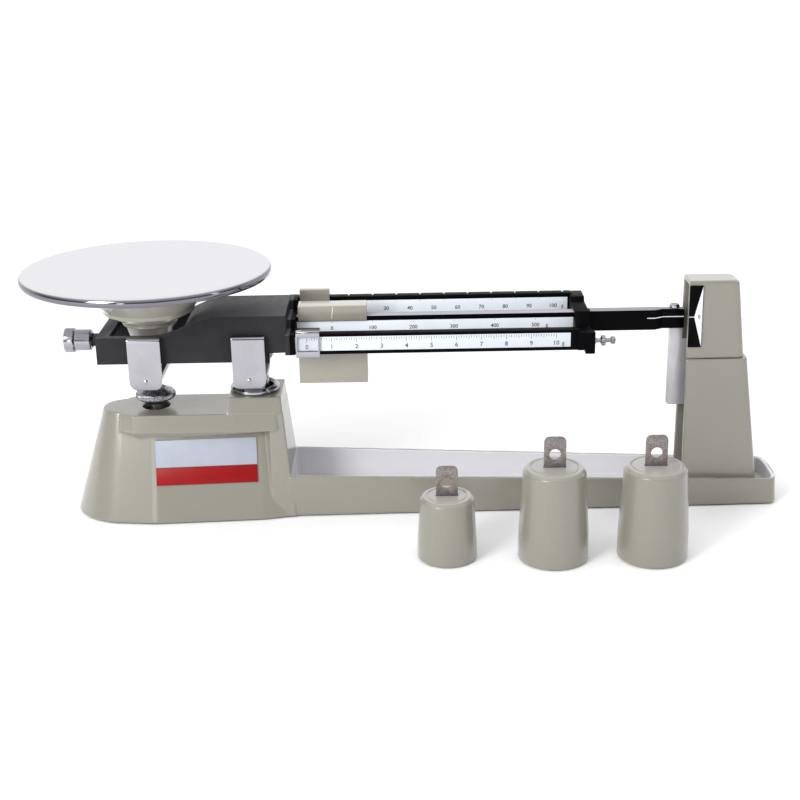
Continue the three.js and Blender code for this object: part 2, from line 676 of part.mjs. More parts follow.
function addPanCarrier(parent) {
  const carrier = groupAt(parent, LOAD_X, 0, 0);
  const seat = PAN.top - PAN.sheet - GAP;
  place(carrier, 'pan_support_cone', turned([
    [0, 113.5], [14, 113.5], [17.2, 120.6], [19.5, 121], [19.5, 121.7], [18.4, 122.4], [27.7, 130.5],
    [38, 143], [42, 149], [42, seat], [39.8, seat], [39.8, 149.6], [25.6, 132], [0, 129],
  ], 40), ENAMEL);
  place(carrier, 'pan_yoke', yokeFrame(88.6), STEEL);
  for (const [label, side] of [['front', -1], ['rear', 1]]) {
    place(carrier, `pan_bearing_${label}`, bearing(1, side), AGATE);
    place(carrier, `pan_cover_${label}`, yokeCover(side, COVER.panFoot), CHROME);
  }
  place(carrier, 'pan_post', turned(rod(5, 92.3, 113.2), 24), STEEL);
  const bottom = LINK_Z - 7;
  const stem = turned([[0, bottom], [3.6, bottom], [3.6, 88.3], [0, 88.3]], 24);
  const pinHole = turnedAlongY(rod(1.9, -6, 6)).translate(0, 0, LINK_Z);
  place(carrier, 'pan_stem', cut(stem, pinHole), STEEL);
  place(carrier, 'stem_disc', turned([
    [3.9, 68.2], [4.6, 68.2], [11.4, 71.9], [12.5, 72.9], [12.5, 75], [11.4, 76.3], [6.5, 78.6], [3.9, 79],
    [3.9, 68.2],
  ], 28), CHROME);
  place(carrier, 'stem_pin', turnedAlongY(rod(1.6, -8.5, 8.5), 16), STEEL, [0, 0, LINK_Z]);
}

function addPan(parent) {
  const pan = groupAt(parent, LOAD_X, 0, 0);
  const r = PAN.radius;
  const under = PAN.top - PAN.sheet;
  const lip = PAN.top - PAN.rim;
  place(pan, 'pan', turned([
    [0, under], [r - 2.4, under], [r - PAN.sheet, under - 1], [r - PAN.sheet, lip], [r - 0.4, lip - 0.2],
    [r, lip + 0.3], [r, PAN.top - 1.3], [r - 0.4, PAN.top - 0.5], [r - 1.3, PAN.top], [0, PAN.top],
  ], 60), SATIN_STEEL);
  place(pan, 'pan_locating_ring', turned(ring(37.6, 39.3, 150.2, under - GAP), 36), STEEL);
}

// ---------------------------------------------------------------- attachment weights

function addWeight(parent, weight) {
  const { name, x, y, foot, shoulder, height, bore, tab } = weight;
  const group = groupAt(parent, x, y, 0);
  const profile = [
    [bore, 0], [foot - 0.8, 0], [foot, 0.8], [foot - 0.1, height * 0.5], [shoulder, height - 2.2],
    [shoulder - 0.7, height - 0.7], [shoulder - 2.2, height], [0, height], [0, height - 5.5],
    [bore, height - 5.5], [bore, 0],
  ];
  const slot = slab(-6.6, 6.6, -1.1, 1.1, height - 3.6, height + 5);
  place(group, `weight_${name}_body`, cut(turned(profile, 32), slot), ENAMEL);
  const shape = new THREE.Shape();
  shape.moveTo(-6.3, height - 3.3);
  shape.lineTo(6.3, height - 3.3);
  shape.lineTo(6.3, tab - 3.6);
  shape.quadraticCurveTo(6.3, tab, 2.6, tab);
  shape.lineTo(-2.6, tab);
  shape.quadraticCurveTo(-6.3, tab, -6.3, tab - 3.6);
  const hole = turnedAlongY(rod(3.3, -5, 5), 18).translate(0, 0, height + 7.7);
  place(group, `weight_${name}_tab`, cut(prismAlongY(shape, -0.8, 0.8, 5), hole), STEEL);
}

// ---------------------------------------------------------------- assembly

const balance = new THREE.Group();
const drawing = groupAt(balance, -CENTRE_X, -CENTRE_Y, 0);
addBase(drawing);
addFulcrum(drawing);
addLinkBracket(drawing);
addCheckLink(drawing);
addTower(drawing);
addBeam(drawing);
addZeroKnob(drawing);
addPoises(drawing);
addPanCarrier(drawing);
addPan(drawing);
for (const weight of WEIGHTS) {
  addWeight(drawing, weight);
}

export default balance;
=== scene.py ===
import json
import math

import bmesh
import bpy
from mathutils import Matrix, Vector


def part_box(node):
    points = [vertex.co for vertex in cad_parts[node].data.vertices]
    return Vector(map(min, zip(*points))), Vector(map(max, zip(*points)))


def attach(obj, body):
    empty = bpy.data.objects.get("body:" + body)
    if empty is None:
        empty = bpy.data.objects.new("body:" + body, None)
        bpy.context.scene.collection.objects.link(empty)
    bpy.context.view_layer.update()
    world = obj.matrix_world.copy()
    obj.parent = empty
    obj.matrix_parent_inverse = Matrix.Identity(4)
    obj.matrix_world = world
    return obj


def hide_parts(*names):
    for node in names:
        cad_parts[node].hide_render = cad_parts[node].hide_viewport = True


# -------------------- the frame

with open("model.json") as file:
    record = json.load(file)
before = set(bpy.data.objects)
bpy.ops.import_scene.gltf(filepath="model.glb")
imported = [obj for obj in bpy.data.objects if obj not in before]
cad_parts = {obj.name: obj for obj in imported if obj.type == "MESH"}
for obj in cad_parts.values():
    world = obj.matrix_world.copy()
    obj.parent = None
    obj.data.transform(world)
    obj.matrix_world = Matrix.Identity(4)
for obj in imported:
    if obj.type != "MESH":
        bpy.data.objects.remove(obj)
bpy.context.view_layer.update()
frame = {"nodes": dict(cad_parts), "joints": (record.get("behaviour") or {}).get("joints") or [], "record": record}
scene = bpy.context.scene

MM = 0.001
# Beyond everything that is drawn, in millimetres.
FAR = 300.0
FULCRUM_X = -90.5
KNIFE_Z = 108.0
KNOB_Z = 110.0
joints = {joint["name"]: joint for joint in frame["joints"]}

# Pieces are drawn in millimetres about the same datum as the CAD: Y = 0 on the beam's centre line
# and the fulcrum knife at (FULCRUM_X, 0, KNIFE_Z).
datum = Vector(joints["beam_swing"]["pos_m"]) - Vector((FULCRUM_X, 0, KNIFE_Z)) * MM
TO_ROW = Matrix.Translation(datum) @ Matrix.Scale(MM, 4)
LOAD_X = (joints["pan_level"]["pos_m"][0] - datum.x) / MM
TOWER_SCREWS = (190, 214)
TRAY_LEFT, TRAY_RIGHT = -70.0, 230.6
TRAY_HALF_LEFT, TRAY_HALF_RIGHT = 27.2, 20.6
TRAY_WALL, TRAY_LIP = 3.0, 0.9


def drawn_box(node):
    """Lowest and highest corners of a CAD node, in drawing millimetres."""
    low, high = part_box(node)
    return (low - datum) / MM, (high - datum) / MM


# -------------------- materials


def srgb(r, g, b):
    """Linear colour of an 8-bit screen colour."""
    def linear(v):
        v /= 255
        return v / 12.92 if v <= 0.04045 else ((v + 0.055) / 1.055) ** 2.4
    return (linear(r), linear(g), linear(b), 1.0)


class Surface:
    """One procedural material: a Principled shader with helpers for what varies over the surface."""

    def __init__(self, name, color, roughness, metallic=0.0, **sockets):
        self.material = bpy.data.materials.new(name)
        self.material.use_nodes = True
        self.nodes = self.material.node_tree.nodes
        self.links = self.material.node_tree.links
        self.shader = self.nodes["Principled BSDF"]
        self.color = color
        self.shader.inputs["Base Color"].default_value = color
        self.shader.inputs["Roughness"].default_value = roughness
        self.shader.inputs["Metallic"].default_value = metallic
        for socket, value in sockets.items():
            self.shader.inputs[socket.replace("_", " ")].default_value = value
        texture = self.node("TexCoord")
        self.coordinates, self.facing = texture.outputs["Object"], texture.outputs["Normal"]
        self.material.diffuse_color = color

    def node(self, kind, **inputs):
        """A shader node with its input values; _ stands for a space in their names."""
        node = self.nodes.new(f"ShaderNode{kind}")
        for name, value in inputs.items():
            node.inputs[name.replace("_", " ")].default_value = value
        return node

    def noise(self, scale, stretch=(1, 1, 1), detail=3.0):
        """Noise with a feature size of about 1 / scale metres."""
        mapping = self.node("Mapping", Scale=stretch)
        self.links.new(self.coordinates, mapping.inputs["Vector"])
        noise = self.node("TexNoise", Scale=scale, Detail=detail)
        self.links.new(mapping.outputs["Vector"], noise.inputs["Vector"])
        return noise.outputs["Fac"]

    def vector(self, operation, source, other=(0, 0, 0)):
        node = self.node("VectorMath")
        node.operation = operation
        node.inputs[1].default_value = other
        self.links.new(source, node.inputs[0])
        return node.outputs

    def distance(self, centre):
        """Distance from a vertical axis through centre."""
        offset = self.vector("SUBTRACT", self.coordinates, centre)["Vector"]
        flat = self.vector("MULTIPLY", offset, (1, 1, 0))["Vector"]
        return self.vector("LENGTH", flat)["Value"]

    def noise_1d(self, source, scale):
        """Noise that depends on one value only."""
        noise = self.node("TexNoise", Scale=scale, Detail=4.0)
        noise.noise_dimensions = "1D"
        self.links.new(source, noise.inputs["W"])
        return noise.outputs["Fac"]

    def ranged(self, source, low, high, source_low=0.3, source_high=0.7):
        """The source's range mapped to low..high; the default range is where most noise lies."""
        node = self.node("MapRange", From_Min=source_low, From_Max=source_high, To_Min=low, To_Max=high)
        self.links.new(source, node.inputs["Value"])
        return node.outputs["Result"]

    def blend(self, factor, first, second):
        """The first colour where factor is 0, the second where it is 1."""
        node = self.node("Mix")
        node.data_type = "RGBA"
        for index, value in ((6, first), (7, second)):
            if isinstance(value, bpy.types.NodeSocket):
                self.links.new(value, node.inputs[index])
            else:
                node.inputs[index].default_value = value
        self.links.new(factor, node.inputs["Factor"])
        return node.outputs[2]

    def calculate(self, operation, first, second=0.0):
        node = self.node("Math")
        node.operation = operation
        for socket, value in zip(node.inputs, (first, second)):
            if isinstance(value, bpy.types.NodeSocket):
                self.links.new(value, socket)
            else:
                socket.default_value = value
        return node.outputs["Value"]

    def place(self):
        """Drawing coordinates in millimetres, with Y as the distance to either side of the beam."""
        axes = self.node("SeparateXYZ")
        self.links.new(self.coordinates, axes.inputs["Vector"])
        x, y, z = (self.calculate("DIVIDE", self.calculate("SUBTRACT", axes.outputs[axis], datum[i]), MM)
                   for i, axis in enumerate("XYZ"))
        return x, self.calculate("ABSOLUTE", y), z

    def upward(self):
        """1 on faces that point up, 0 on walls and slopes."""
        axes = self.node("SeparateXYZ")
        self.links.new(self.facing, axes.inputs["Vector"])
        return self.ranged(axes.outputs["Z"], 0, 1, 0.6, 0.95)

    def within(self, *limits):
        """1 where every (value, low, high) holds, else 0."""
        mask = None
        for value, low, high in limits:
            above = self.calculate("GREATER_THAN", value, low)
            below = self.calculate("LESS_THAN", value, high)
            inside = self.calculate("MULTIPLY", above, below)
            mask = inside if mask is None else self.calculate("MULTIPLY", mask, inside)
        return mask

    def paint(self):
        """What the base colour is worked out from so far."""
        return self.shader.inputs["Base Color"].links[0].from_socket

    def color_from(self, source):
        self.links.new(source, self.shader.inputs["Base Color"])
        return self

    def vary(self, source, other):
        """The base colour drifts towards another colour where the source is high."""
        return self.color_from(self.blend(self.ranged(source, 0, 1), self.color, other))

    def mottle(self, scale, other):
        """The base colour drifts towards another colour in patches."""
        return self.vary(self.noise(scale), other)

    def roughness_from(self, source, low, high):
        self.links.new(self.ranged(source, low, high), self.shader.inputs["Roughness"])
        return self

    def bump_from(self, source, height_mm, strength=1.0):
        node = self.node("Bump", Strength=strength, Distance=height_mm * MM)
        self.links.new(source, node.inputs["Height"])
        self.links.new(node.outputs["Normal"], self.shader.inputs["Normal"])
        return self

    def finish(self, patches, roughness, relief, detail=3.0):
        """Patches are (scale, colour), roughness (scale, low, high), relief (scale, mm, strength)."""
        if patches:
            self.mottle(*patches)
        self.roughness_from(self.noise(roughness[0]), *roughness[1:])
        return self.bump_from(self.noise(relief[0], detail=detail), *relief[1:]).material


def enamel(name="enamel", color=srgb(134, 131, 121), drift=srgb(130, 127, 117), top=None):
    """Smooth glossy grey-beige stove enamel; given a top colour, faces that look up are painted lighter towards
    it, a painted highlight.
    """
    surface = Surface(name, color, 0.3, Coat_Weight=0.7, Coat_Roughness=0.1)
    surface.mottle(9, drift)
    # Painted highlight: faces that look up blend to the lighter top colour.
    if top:
        surface.color_from(surface.blend(surface.upward(), surface.paint(), top))
    surface.roughness_from(surface.noise(120), 0.29, 0.36)
    surface.bump_from(surface.noise(420, detail=1.0), 0.006, 0.1)
    return surface


def base_enamel():
    """The same enamel, painted paler and bluer inside the tray: painted light and reflection for the bright light
    that falls into it.
    """
    surface = enamel("enamel_base")
    x, y, z = surface.place()
    taper = (TRAY_HALF_LEFT - TRAY_HALF_RIGHT) / (TRAY_RIGHT - TRAY_LEFT)
    wall_edge = TRAY_HALF_LEFT - TRAY_WALL + TRAY_LEFT * taper
    corner_edge = TRAY_RIGHT + 19.3
    below_floor, above_rim = 5, 27.2
    widened = surface.calculate("ADD", y, surface.calculate("MULTIPLY", x, taper))
    diagonal = surface.calculate("ADD", x, y)
    # Painted light: inside the tray the enamel is painted a paler, bluer colour.
    tray_painted_light = surface.within(
        (x, TRAY_LEFT - 2, TRAY_RIGHT + 5),
        (widened, -FAR, wall_edge),
        (diagonal, -FAR, corner_edge),
        (z, below_floor, above_rim),
    )
    surface.color_from(surface.blend(tray_painted_light, surface.paint(), srgb(214, 213, 217)))
    return surface.material


def black_paint():
    """Satin black with random worn patches on the frame. The frame is painted dark grey and the bars and arm near
    black, a painted sheen; faces that look up are painted lighter, and a pale strip along the middle bar's top,
    both painted reflections.
    """
    surface = Surface("black_paint", srgb(46, 46, 48), 0.4, Specular_IOR_Level=0.03)
    deep_black = srgb(7, 7, 9)
    x, y, z = surface.place()
    frame_end = drawn_box("rear_poise")[0].x - 4
    bar_end, bar_half, bar_top = 107.5, 3.8, 123.3
    arm_start = 117.5
    upward = surface.upward()
    worn = surface.blend(surface.ranged(surface.noise(70), 0, 1), surface.color, srgb(52, 52, 55))
    # Painted sheen: the frame is dark grey with lighter grey faces that look up; the arm's faces that look up are
    # painted light grey, the rest near black.
    frame_painted_sheen = surface.blend(upward, worn, srgb(84, 84, 88))
    arm_painted_sheen = surface.blend(upward, deep_black, srgb(150, 150, 155))
    beyond = surface.blend(surface.within((x, arm_start, FAR)), deep_black, arm_painted_sheen)
    paint = surface.blend(surface.within((x, frame_end, FAR)), frame_painted_sheen, beyond)
    # Painted reflection: a pale strip along the top of the middle bar.
    bar_top_painted_reflection = surface.within(
        (x, frame_end + 3, bar_end),
        (y, -FAR, bar_half),
        (z, bar_top - 0.3, bar_top + 0.1),
    )
    surface.color_from(surface.blend(bar_top_painted_reflection, paint, srgb(172, 172, 178)))
    surface.roughness_from(surface.noise(240), 0.34, 0.46)
    return surface.bump_from(surface.noise(900, detail=2), 0.02, 0.25).material


def chrome():
    surface = Surface("chrome", srgb(170, 170, 174), 0.12, 1.0)
    return surface.finish((60, srgb(158, 158, 163)), (70, 0.08, 0.18), (350, 0.008, 0.2))


def rough_chrome():
    """Chrome over a rough cast surface, darkened in its hollows."""
    surface = Surface("rough_chrome", srgb(150, 149, 154), 0.25, 1.0)
    grain = surface.noise(700, detail=4)
    hollows, peaks = srgb(112, 111, 116), srgb(176, 176, 181)
    surface.color_from(surface.blend(surface.ranged(grain, 0, 1), hollows, peaks))
    surface.roughness_from(grain, 0.34, 0.16)
    return surface.bump_from(grain, 0.12, 0.6).material


def satin_pan():
    """Stainless steel spun smooth, with fine rings round its centre and a polished rim painted darker, a painted
    reflection of the dim surroundings.
    """
    surface = Surface("satin_steel", srgb(217, 216, 221), 0.3, 1.0)
    low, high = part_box("pan")
    radius = (high.x - low.x) / 2
    reach = surface.distance((low + high) / 2)
    rings = surface.noise_1d(reach, 2600)
    top = surface.blend(surface.ranged(rings, 0, 1), surface.color, srgb(211, 210, 216))
    # The polished rim: lower roughness, and a darker grey painted on as a painted reflection.
    polished_rim_painted_dark = surface.ranged(reach, 0, 1, radius - 1.2 * MM, radius - 0.6 * MM)
    surface.color_from(surface.blend(polished_rim_painted_dark, top, srgb(122, 120, 128)))
    surface.links.new(surface.ranged(polished_rim_painted_dark, 0.28, 0.1, 0, 1), surface.shader.inputs["Roughness"])
    return surface.bump_from(rings, 0.003, 0.3).material


def machined_steel():
    surface = Surface("steel", srgb(168, 168, 172), 0.34, 1.0)
    return surface.finish((140, srgb(146, 145, 148)), (240, 0.3, 0.44), (1400, 0.008, 0.4), detail=2)


def aluminium():
    surface = Surface("aluminium", srgb(206, 204, 208), 0.36, 0.6)
    grain = surface.noise(900, stretch=(1, 1, 0.05))
    surface.mottle(60, srgb(196, 194, 198))
    surface.roughness_from(grain, 0.28, 0.46)
    return surface.bump_from(grain, 0.006, 0.5).material


def tab_steel():
    """Blued steel strip, browned and freckled."""
    surface = Surface("tab_steel", srgb(158, 151, 149), 0.42, 1.0)
    freckles = surface.noise(900, detail=3)
    surface.vary(freckles, srgb(122, 114, 112))
    surface.roughness_from(freckles, 0.34, 0.52)
    return surface.bump_from(freckles, 0.02, 0.4).material


def printed(name, color, other, gloss=0.2):
    """A painted or printed sheet, with a fine tooth."""
    surface = Surface(name, color, 0.4, Specular_IOR_Level=gloss)
    return surface.finish((120, other), (300, 0.34, 0.46), (1500, 0.006, 0.3), detail=1)


def rubber():
    surface = Surface("rubber", srgb(40, 40, 41), 0.85)
    return surface.finish((400, srgb(54, 54, 55)), (500, 0.75, 0.95), (1500, 0.05, 0.6))


def agate():
    """Polished banded stone."""
    surface = Surface("agate", srgb(128, 70, 52), 0.16, Coat_Weight=0.5)
    bands = surface.noise(160, stretch=(1, 1, 5))
    surface.vary(bands, srgb(196, 150, 120))
    surface.roughness_from(bands, 0.12, 0.22)
    return surface.bump_from(bands, 0.004, 0.2).material


def ferrite():
    surface = Surface("magnet", srgb(62, 62, 66), 0.55, 0.4)
    return surface.finish((500, srgb(44, 44, 47)), (600, 0.45, 0.7), (900, 0.03, 0.5))


def clear_window():
    surface = Surface("clear_window", srgb(252, 252, 253), 0.04, Transmission_Weight=1.0, IOR=1.12)
    return surface.finish(None, (90, 0.01, 0.05), (200, 0.002, 0.2))


def floor_material():
    surface = Surface("floor", srgb(252, 252, 253), 0.8, Specular_IOR_Level=0.0)
    return surface.finish((3, srgb(250, 250, 251)), (5, 0.75, 0.85), (300, 0.02, 0.1))


MATERIALS = {
    "enamel": enamel().material,
    "black_paint": black_paint(),
    "chrome": chrome(),
    "satin_steel": satin_pan(),
    "steel": machined_steel(),
    "aluminium": aluminium(),
    "scale_white": printed("scale_white", srgb(238, 243, 250), srgb(232, 239, 247)),
    "label_white": printed("label_white", srgb(166, 170, 182), srgb(160, 164, 176)),
    "label_red": printed("label_red", srgb(144, 8, 13), srgb(134, 7, 11)),
    "index_black": printed("index_black", srgb(8, 8, 9), srgb(12, 12, 13), 0.03),
    "rubber": rubber(),
    "agate": agate(),
    "magnet": ferrite(),
}
INK = printed("ink", srgb(46, 54, 62), srgb(58, 66, 74))
# Paler enamel for the poises and the cone, with a painted highlight on faces that look up.
PALE_ENAMEL = enamel(
    "enamel_pale", srgb(150, 147, 136), drift=srgb(146, 143, 132), top=srgb(182, 179, 171)
).material
# Enamel with a painted highlight on faces that look up, for the tower cap and the weights.
TOP_LIT_ENAMEL = enamel("enamel_top_lit", top=srgb(160, 157, 152)).material
# Painted shade: the front scale's white is a darker copy of the scale white.
SHADED_FRONT_SHEET = printed("scale_white_front_shaded", srgb(214, 219, 226), srgb(208, 214, 222))
INDEX_WHITE = printed("index_white", srgb(232, 234, 236), srgb(222, 224, 228))


# -------------------- outlines


def fillet(points, radius, steps=5, closed=True):
    """The outline with each corner rounded by an arc; an open outline keeps its two ends."""
    nearly_straight, side_share = 0.05, 0.48
    count = len(points)
    rounded = []
    for i, point in enumerate(points):
        corner = Vector(point)
        if not closed and i in (0, count - 1):
            rounded.append(tuple(corner))
            continue
        before = Vector(points[i - 1]) - corner
        after = Vector(points[(i + 1) % count]) - corner
        angle = before.angle(after)
        if math.pi - angle < nearly_straight:
            rounded.append(tuple(corner))
            continue
        longest = side_share * min(before.length, after.length)
        reach = min(radius / math.tan(angle / 2), longest)
        start = corner + before.normalized() * reach
        end = corner + after.normalized() * reach
        for k in range(steps + 1):
            t = k / steps
            rounded.append(tuple(start * (1 - t) ** 2 + corner * 2 * t * (1 - t) + end * t * t))
    return rounded


def quarter(x, a, b, steps=20):
    """Quarter ellipse from (x - a, 0) round to (x, -b)."""
    turns = [i / (steps - 1) * math.pi / 2 for i in range(steps)]
    return [(x - a * math.cos(t), -b * math.sin(t)) for t in turns]


def level(half, z):
    """The points of a half outline and their mirror images in Y, all at one height."""
    return [(x, side * y, z) for x, y in half for side in (1, -1)]


# -------------------- solids, drawn in millimetres


def new_object(name, bm):
    """Turns a bmesh into an object of the scene, with its faces pointing out."""
    bmesh.ops.recalc_face_normals(bm, faces=bm.faces)
    mesh = bpy.data.meshes.new(name)
    bm.to_mesh(mesh)
    bm.free()
    obj = bpy.data.objects.new(name, mesh)
    scene.collection.objects.link(obj)
    return obj


def hull(points):
    """The convex solid round a set of points."""
    bm = bmesh.new()
    for point in points:
        bm.verts.new(point)
    bmesh.ops.convex_hull(bm, input=bm.verts)
    loose = [v for v in bm.verts if not v.link_faces]
    bmesh.ops.delete(bm, geom=loose, context="VERTS")
    return new_object("hull", bm)


# Where a point goes that is drawn as (a, b) across an axis and c along it.
AXES = {
    "X": lambda a, b, c: (c, a, b),
    "Y": lambda a, b, c: (a, c, b),
    "Z": lambda a, b, c: (a, b, c),
}


def wall(bm, first, second):
    """Joins two matching rings of vertices with faces."""
    for i in range(len(first)):
        j = (i + 1) % len(first)
        bm.faces.new((first[i], first[j], second[j], second[i]))


def enclose(bm, first, second):
    """Closes the solid between two matching rings of vertices."""
    bm.faces.new(first)
    bm.faces.new(reversed(second))
    wall(bm, first, second)


def prism(outline, low, high, axis):
    """A closed outline in the plane across axis, solid from low to high along it."""
    place = AXES[axis]
    bm = bmesh.new()
    bottom = [bm.verts.new(place(a, b, low)) for a, b in outline]
    top = [bm.verts.new(place(a, b, high)) for a, b in outline]
    enclose(bm, bottom, top)
    return new_object("prism", bm)


def slab(x0, x1, y0, y1, z0, z1):
    return prism([(x0, y0), (x1, y0), (x1, y1), (x0, y1)], z0, z1, "Z")


def lathe(profile, centre=(0, 0, 0), axis="Z", segments=96, knurl=None):
    """A profile of (radius, height) pairs turned about an axis through centre.
    knurl is (depth, low, high): alternate segments are cut in by depth between two heights."""
    place = AXES[axis]
    centre = Vector(centre)
    closed = profile[0] == profile[-1]
    if closed:
        profile = profile[:-1]
    bm = bmesh.new()
    rings = []
    for radius, height in profile:
        if radius < 1e-6:
            rings.append([bm.verts.new(centre + Vector(place(0, 0, height)))])
            continue
        ring = []
        for k in range(segments):
            r = radius
            if knurl and k % 2 and knurl[1] <= height <= knurl[2]:
                r -= knurl[0]
            t = 2 * math.pi * k / segments
            ring.append(bm.verts.new(centre + Vector(place(r * math.cos(t), r * math.sin(t), height))))
        rings.append(ring)
    pairs = list(zip(rings, rings[1:] + rings[:1])) if closed else list(zip(rings, rings[1:]))
    for first, second in pairs:
        for k in range(segments):
            j = (k + 1) % segments
            if len(first) == 1 and len(second) == 1:
                continue
            if len(first) == 1:
                bm.faces.new((first[0], second[j], second[k]))
            elif len(second) == 1:
                bm.faces.new((first[k], first[j], second[0]))
            else:
                bm.faces.new((first[k], first[j], second[j], second[k]))
    return new_object("lathe", bm)


def turned(profile, rounding, centre, axis="Z", segments=96, knurl=None, steps=5, closed=False):
    """Turns a profile with rounded corners; an open one starts and ends on the axis."""
    rounded = fillet(profile, rounding, steps, closed)
    if closed:
        rounded.append(rounded[0])
    return lathe(rounded, centre, axis, segments, knurl)


def rod(radius, low, high):
    """The profile of a plain round bar."""
    return [(0, low), (radius, low), (radius, high), (0, high)]


def bake(obj):
    """Applies the modifiers."""
    depsgraph = bpy.context.evaluated_depsgraph_get()
    mesh = bpy.data.meshes.new_from_object(obj.evaluated_get(depsgraph))
    obj.modifiers.clear()
    obj.data = mesh
    return obj


def combine(operation, target, tools):
    """Joins the tools to the target or cuts them out of it, and removes them."""
    for tool in tools:
        modifier = target.modifiers.new("boolean", "BOOLEAN")
        modifier.operation = operation
        modifier.solver = "EXACT"
        modifier.object = tool
    bake(target)
    for tool in tools:
        bpy.data.objects.remove(tool)
    return target


def join(target, *tools):
    return combine("UNION", target, tools)


def cut(target, *tools):
    return combine("DIFFERENCE", target, tools)


def cast(obj, voxel, rounds):
    """Gives a solid the soft inside and outside corners of a painted casting; flat faces stay flat."""
    sharp = bpy.data.objects.new("sharp", obj.data.copy())
    scene.collection.objects.link(sharp)
    remesh = obj.modifiers.new("remesh", "REMESH")
    remesh.mode = "VOXEL"
    remesh.voxel_size = voxel
    wrap = obj.modifiers.new("wrap", "SHRINKWRAP")
    wrap.target = sharp
    smooth = obj.modifiers.new("smooth", "SMOOTH")
    smooth.factor = 0.5
    smooth.iterations = rounds
    bake(obj)
    bpy.data.objects.remove(sharp)
    obj.data.shade_smooth()
    return obj


def bevelled(obj, width, segments, angle):
    bevel = obj.modifiers.new("bevel", "BEVEL")
    bevel.width = width
    bevel.segments = segments
    bevel.limit_method = "ANGLE"
    bevel.angle_limit = math.radians(angle)
    return bake(obj)


def machined(obj, width, segments=2, angle=30):
    """Breaks the sharp edges with a small bevel and shades the rest smooth."""
    bm = bmesh.new()
    bm.from_mesh(obj.data)
    bmesh.ops.remove_doubles(bm, verts=bm.verts, dist=0.002)
    bmesh.ops.dissolve_limit(bm, angle_limit=math.radians(0.6), verts=bm.verts, edges=bm.edges)
    bm.to_mesh(obj.data)
    bm.free()
    return shaded(bevelled(obj, width, segments, angle))


def shaded(obj, angle=35):
    """Smooth shading that stays crisp across edges sharper than angle."""
    obj.data.shade_smooth()
    obj.data.set_sharp_from_angle(angle=math.radians(angle))
    return obj


def deliver(obj, name, body, slot=None, replaces=(), material=None):
    """Moves a drawn piece into the row frame, gives it its material and lets it ride on its body."""
    obj.data.transform(TO_ROW)
    obj.name = name
    obj.data.materials.clear()
    obj.data.materials.append(material or MATERIALS[slot])
    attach(obj, body)
    if replaces:
        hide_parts(*replaces)
    return obj


SLOT_OF = {row["node"]: row["material_slot"] for row in frame["record"]["subparts"]}
BODY_OF = {node: body for body, nodes in frame["record"]["behaviour"]["bodies"].items() for node in nodes}


def stand_in(obj, node, material=None):
    """Delivers a drawn piece in place of one CAD node."""
    return deliver(obj, f"{node}_finished", BODY_OF[node], SLOT_OF[node], [node], material)


def refined(node, width, segments=2, material=None):
    """The CAD node's own shape with its edges broken."""
    copy = bpy.data.objects.new(node, frame["nodes"][node].data.copy())
    scene.collection.objects.link(copy)
    copy.data.transform(TO_ROW.inverted())
    return stand_in(machined(copy, width, segments), node, material)


# -------------------- base casting

SLOPE = 0.31
HOUSING_RIGHT, RIGHT_SLOPE = -66, 0.095
FOOT_Z = 1.0
HOUSING_TOP = 66.5
CAVITY_TOP = 63.0
WALL = 3.5
BOSS_TOP = drawn_box("base_casting")[1].z
TRAY_FLOOR, TRAY_HOLLOW = 6.5, 4
FOOT_LUGS = ((-168, 22), (-92, 21))
LUG_RADIUS, LUG_FOOT, LUG_TOP = 7.5, 4, 13
STEM_HOLE, RING_SEAT, POST_HOLE, SCREW_HOLE = 8.6, 13, 4.3, 2.3
CAST_ROUNDS = 3


def housing_right(z):
    """X of the housing's right side at a height."""
    return HOUSING_RIGHT - RIGHT_SLOPE * (z - FOOT_Z)


def housing_outline(z, inset=0.0):
    """Front half of the housing's section at a height: a round nose, an edge and a flat front."""
    draw = inset + SLOPE * (z - FOOT_Z)
    return [
        *quarter(-171, 35.4 - draw, 34 - draw, 40),
        (-154.8, -36.07 + draw),
        (-151.2, -36.19 + draw),
        (-86, -32 + draw),
        (-78, -28.7 + draw),
        (housing_right(z) - 0.3 - inset, -27.6 + draw),
    ]


def pillar():
    """The steeper end block that carries the boss and meets the tray."""
    top = HOUSING_TOP - 0.2
    low = [(-84.5, -18), (-80.5, -28.7), (housing_right(FOOT_Z), -28.3)]
    high = [(-84.5, -12), (-80.5, -20.2), (housing_right(top), -19.8)]
    return hull(level(low, FOOT_Z) + level(high, top))


def band():
    """The straight band along the top, over a chamfer that fades to the right."""
    def half(y, left):
        return [(left, -y + 5), (left + 8, -y), (-76.5, -y), (-72.3, -y + 3)]
    return hull(
        level(half(20.2, -173), HOUSING_TOP)
        + level(half(22.5, -173.8), 56)
        + level([(-160, -19.6), (-148, -19.6)], 50.8)
    )


def tray_outline(inset=0.0, left=TRAY_LEFT):
    """Front half of the tray's section, with a squarish rounded right end."""
    squareness, end_length, steps = 0.7, 7, 15
    tail = []
    for k in range(steps + 1):
        t = k / steps * math.pi / 2
        x = TRAY_RIGHT + (end_length - inset) * math.cos(t) ** squareness
        tail.append((x, (inset - TRAY_HALF_RIGHT) * math.sin(t) ** squareness))
    return [(left, inset - TRAY_HALF_LEFT), (TRAY_RIGHT, inset - TRAY_HALF_RIGHT), *tail]


def rim_height(x):
    """Z of the tray's rim, which slopes down to the right."""
    highest, left, length, fall = 26.8, -62, 280, 9.3
    return highest - (x - left) / length * fall


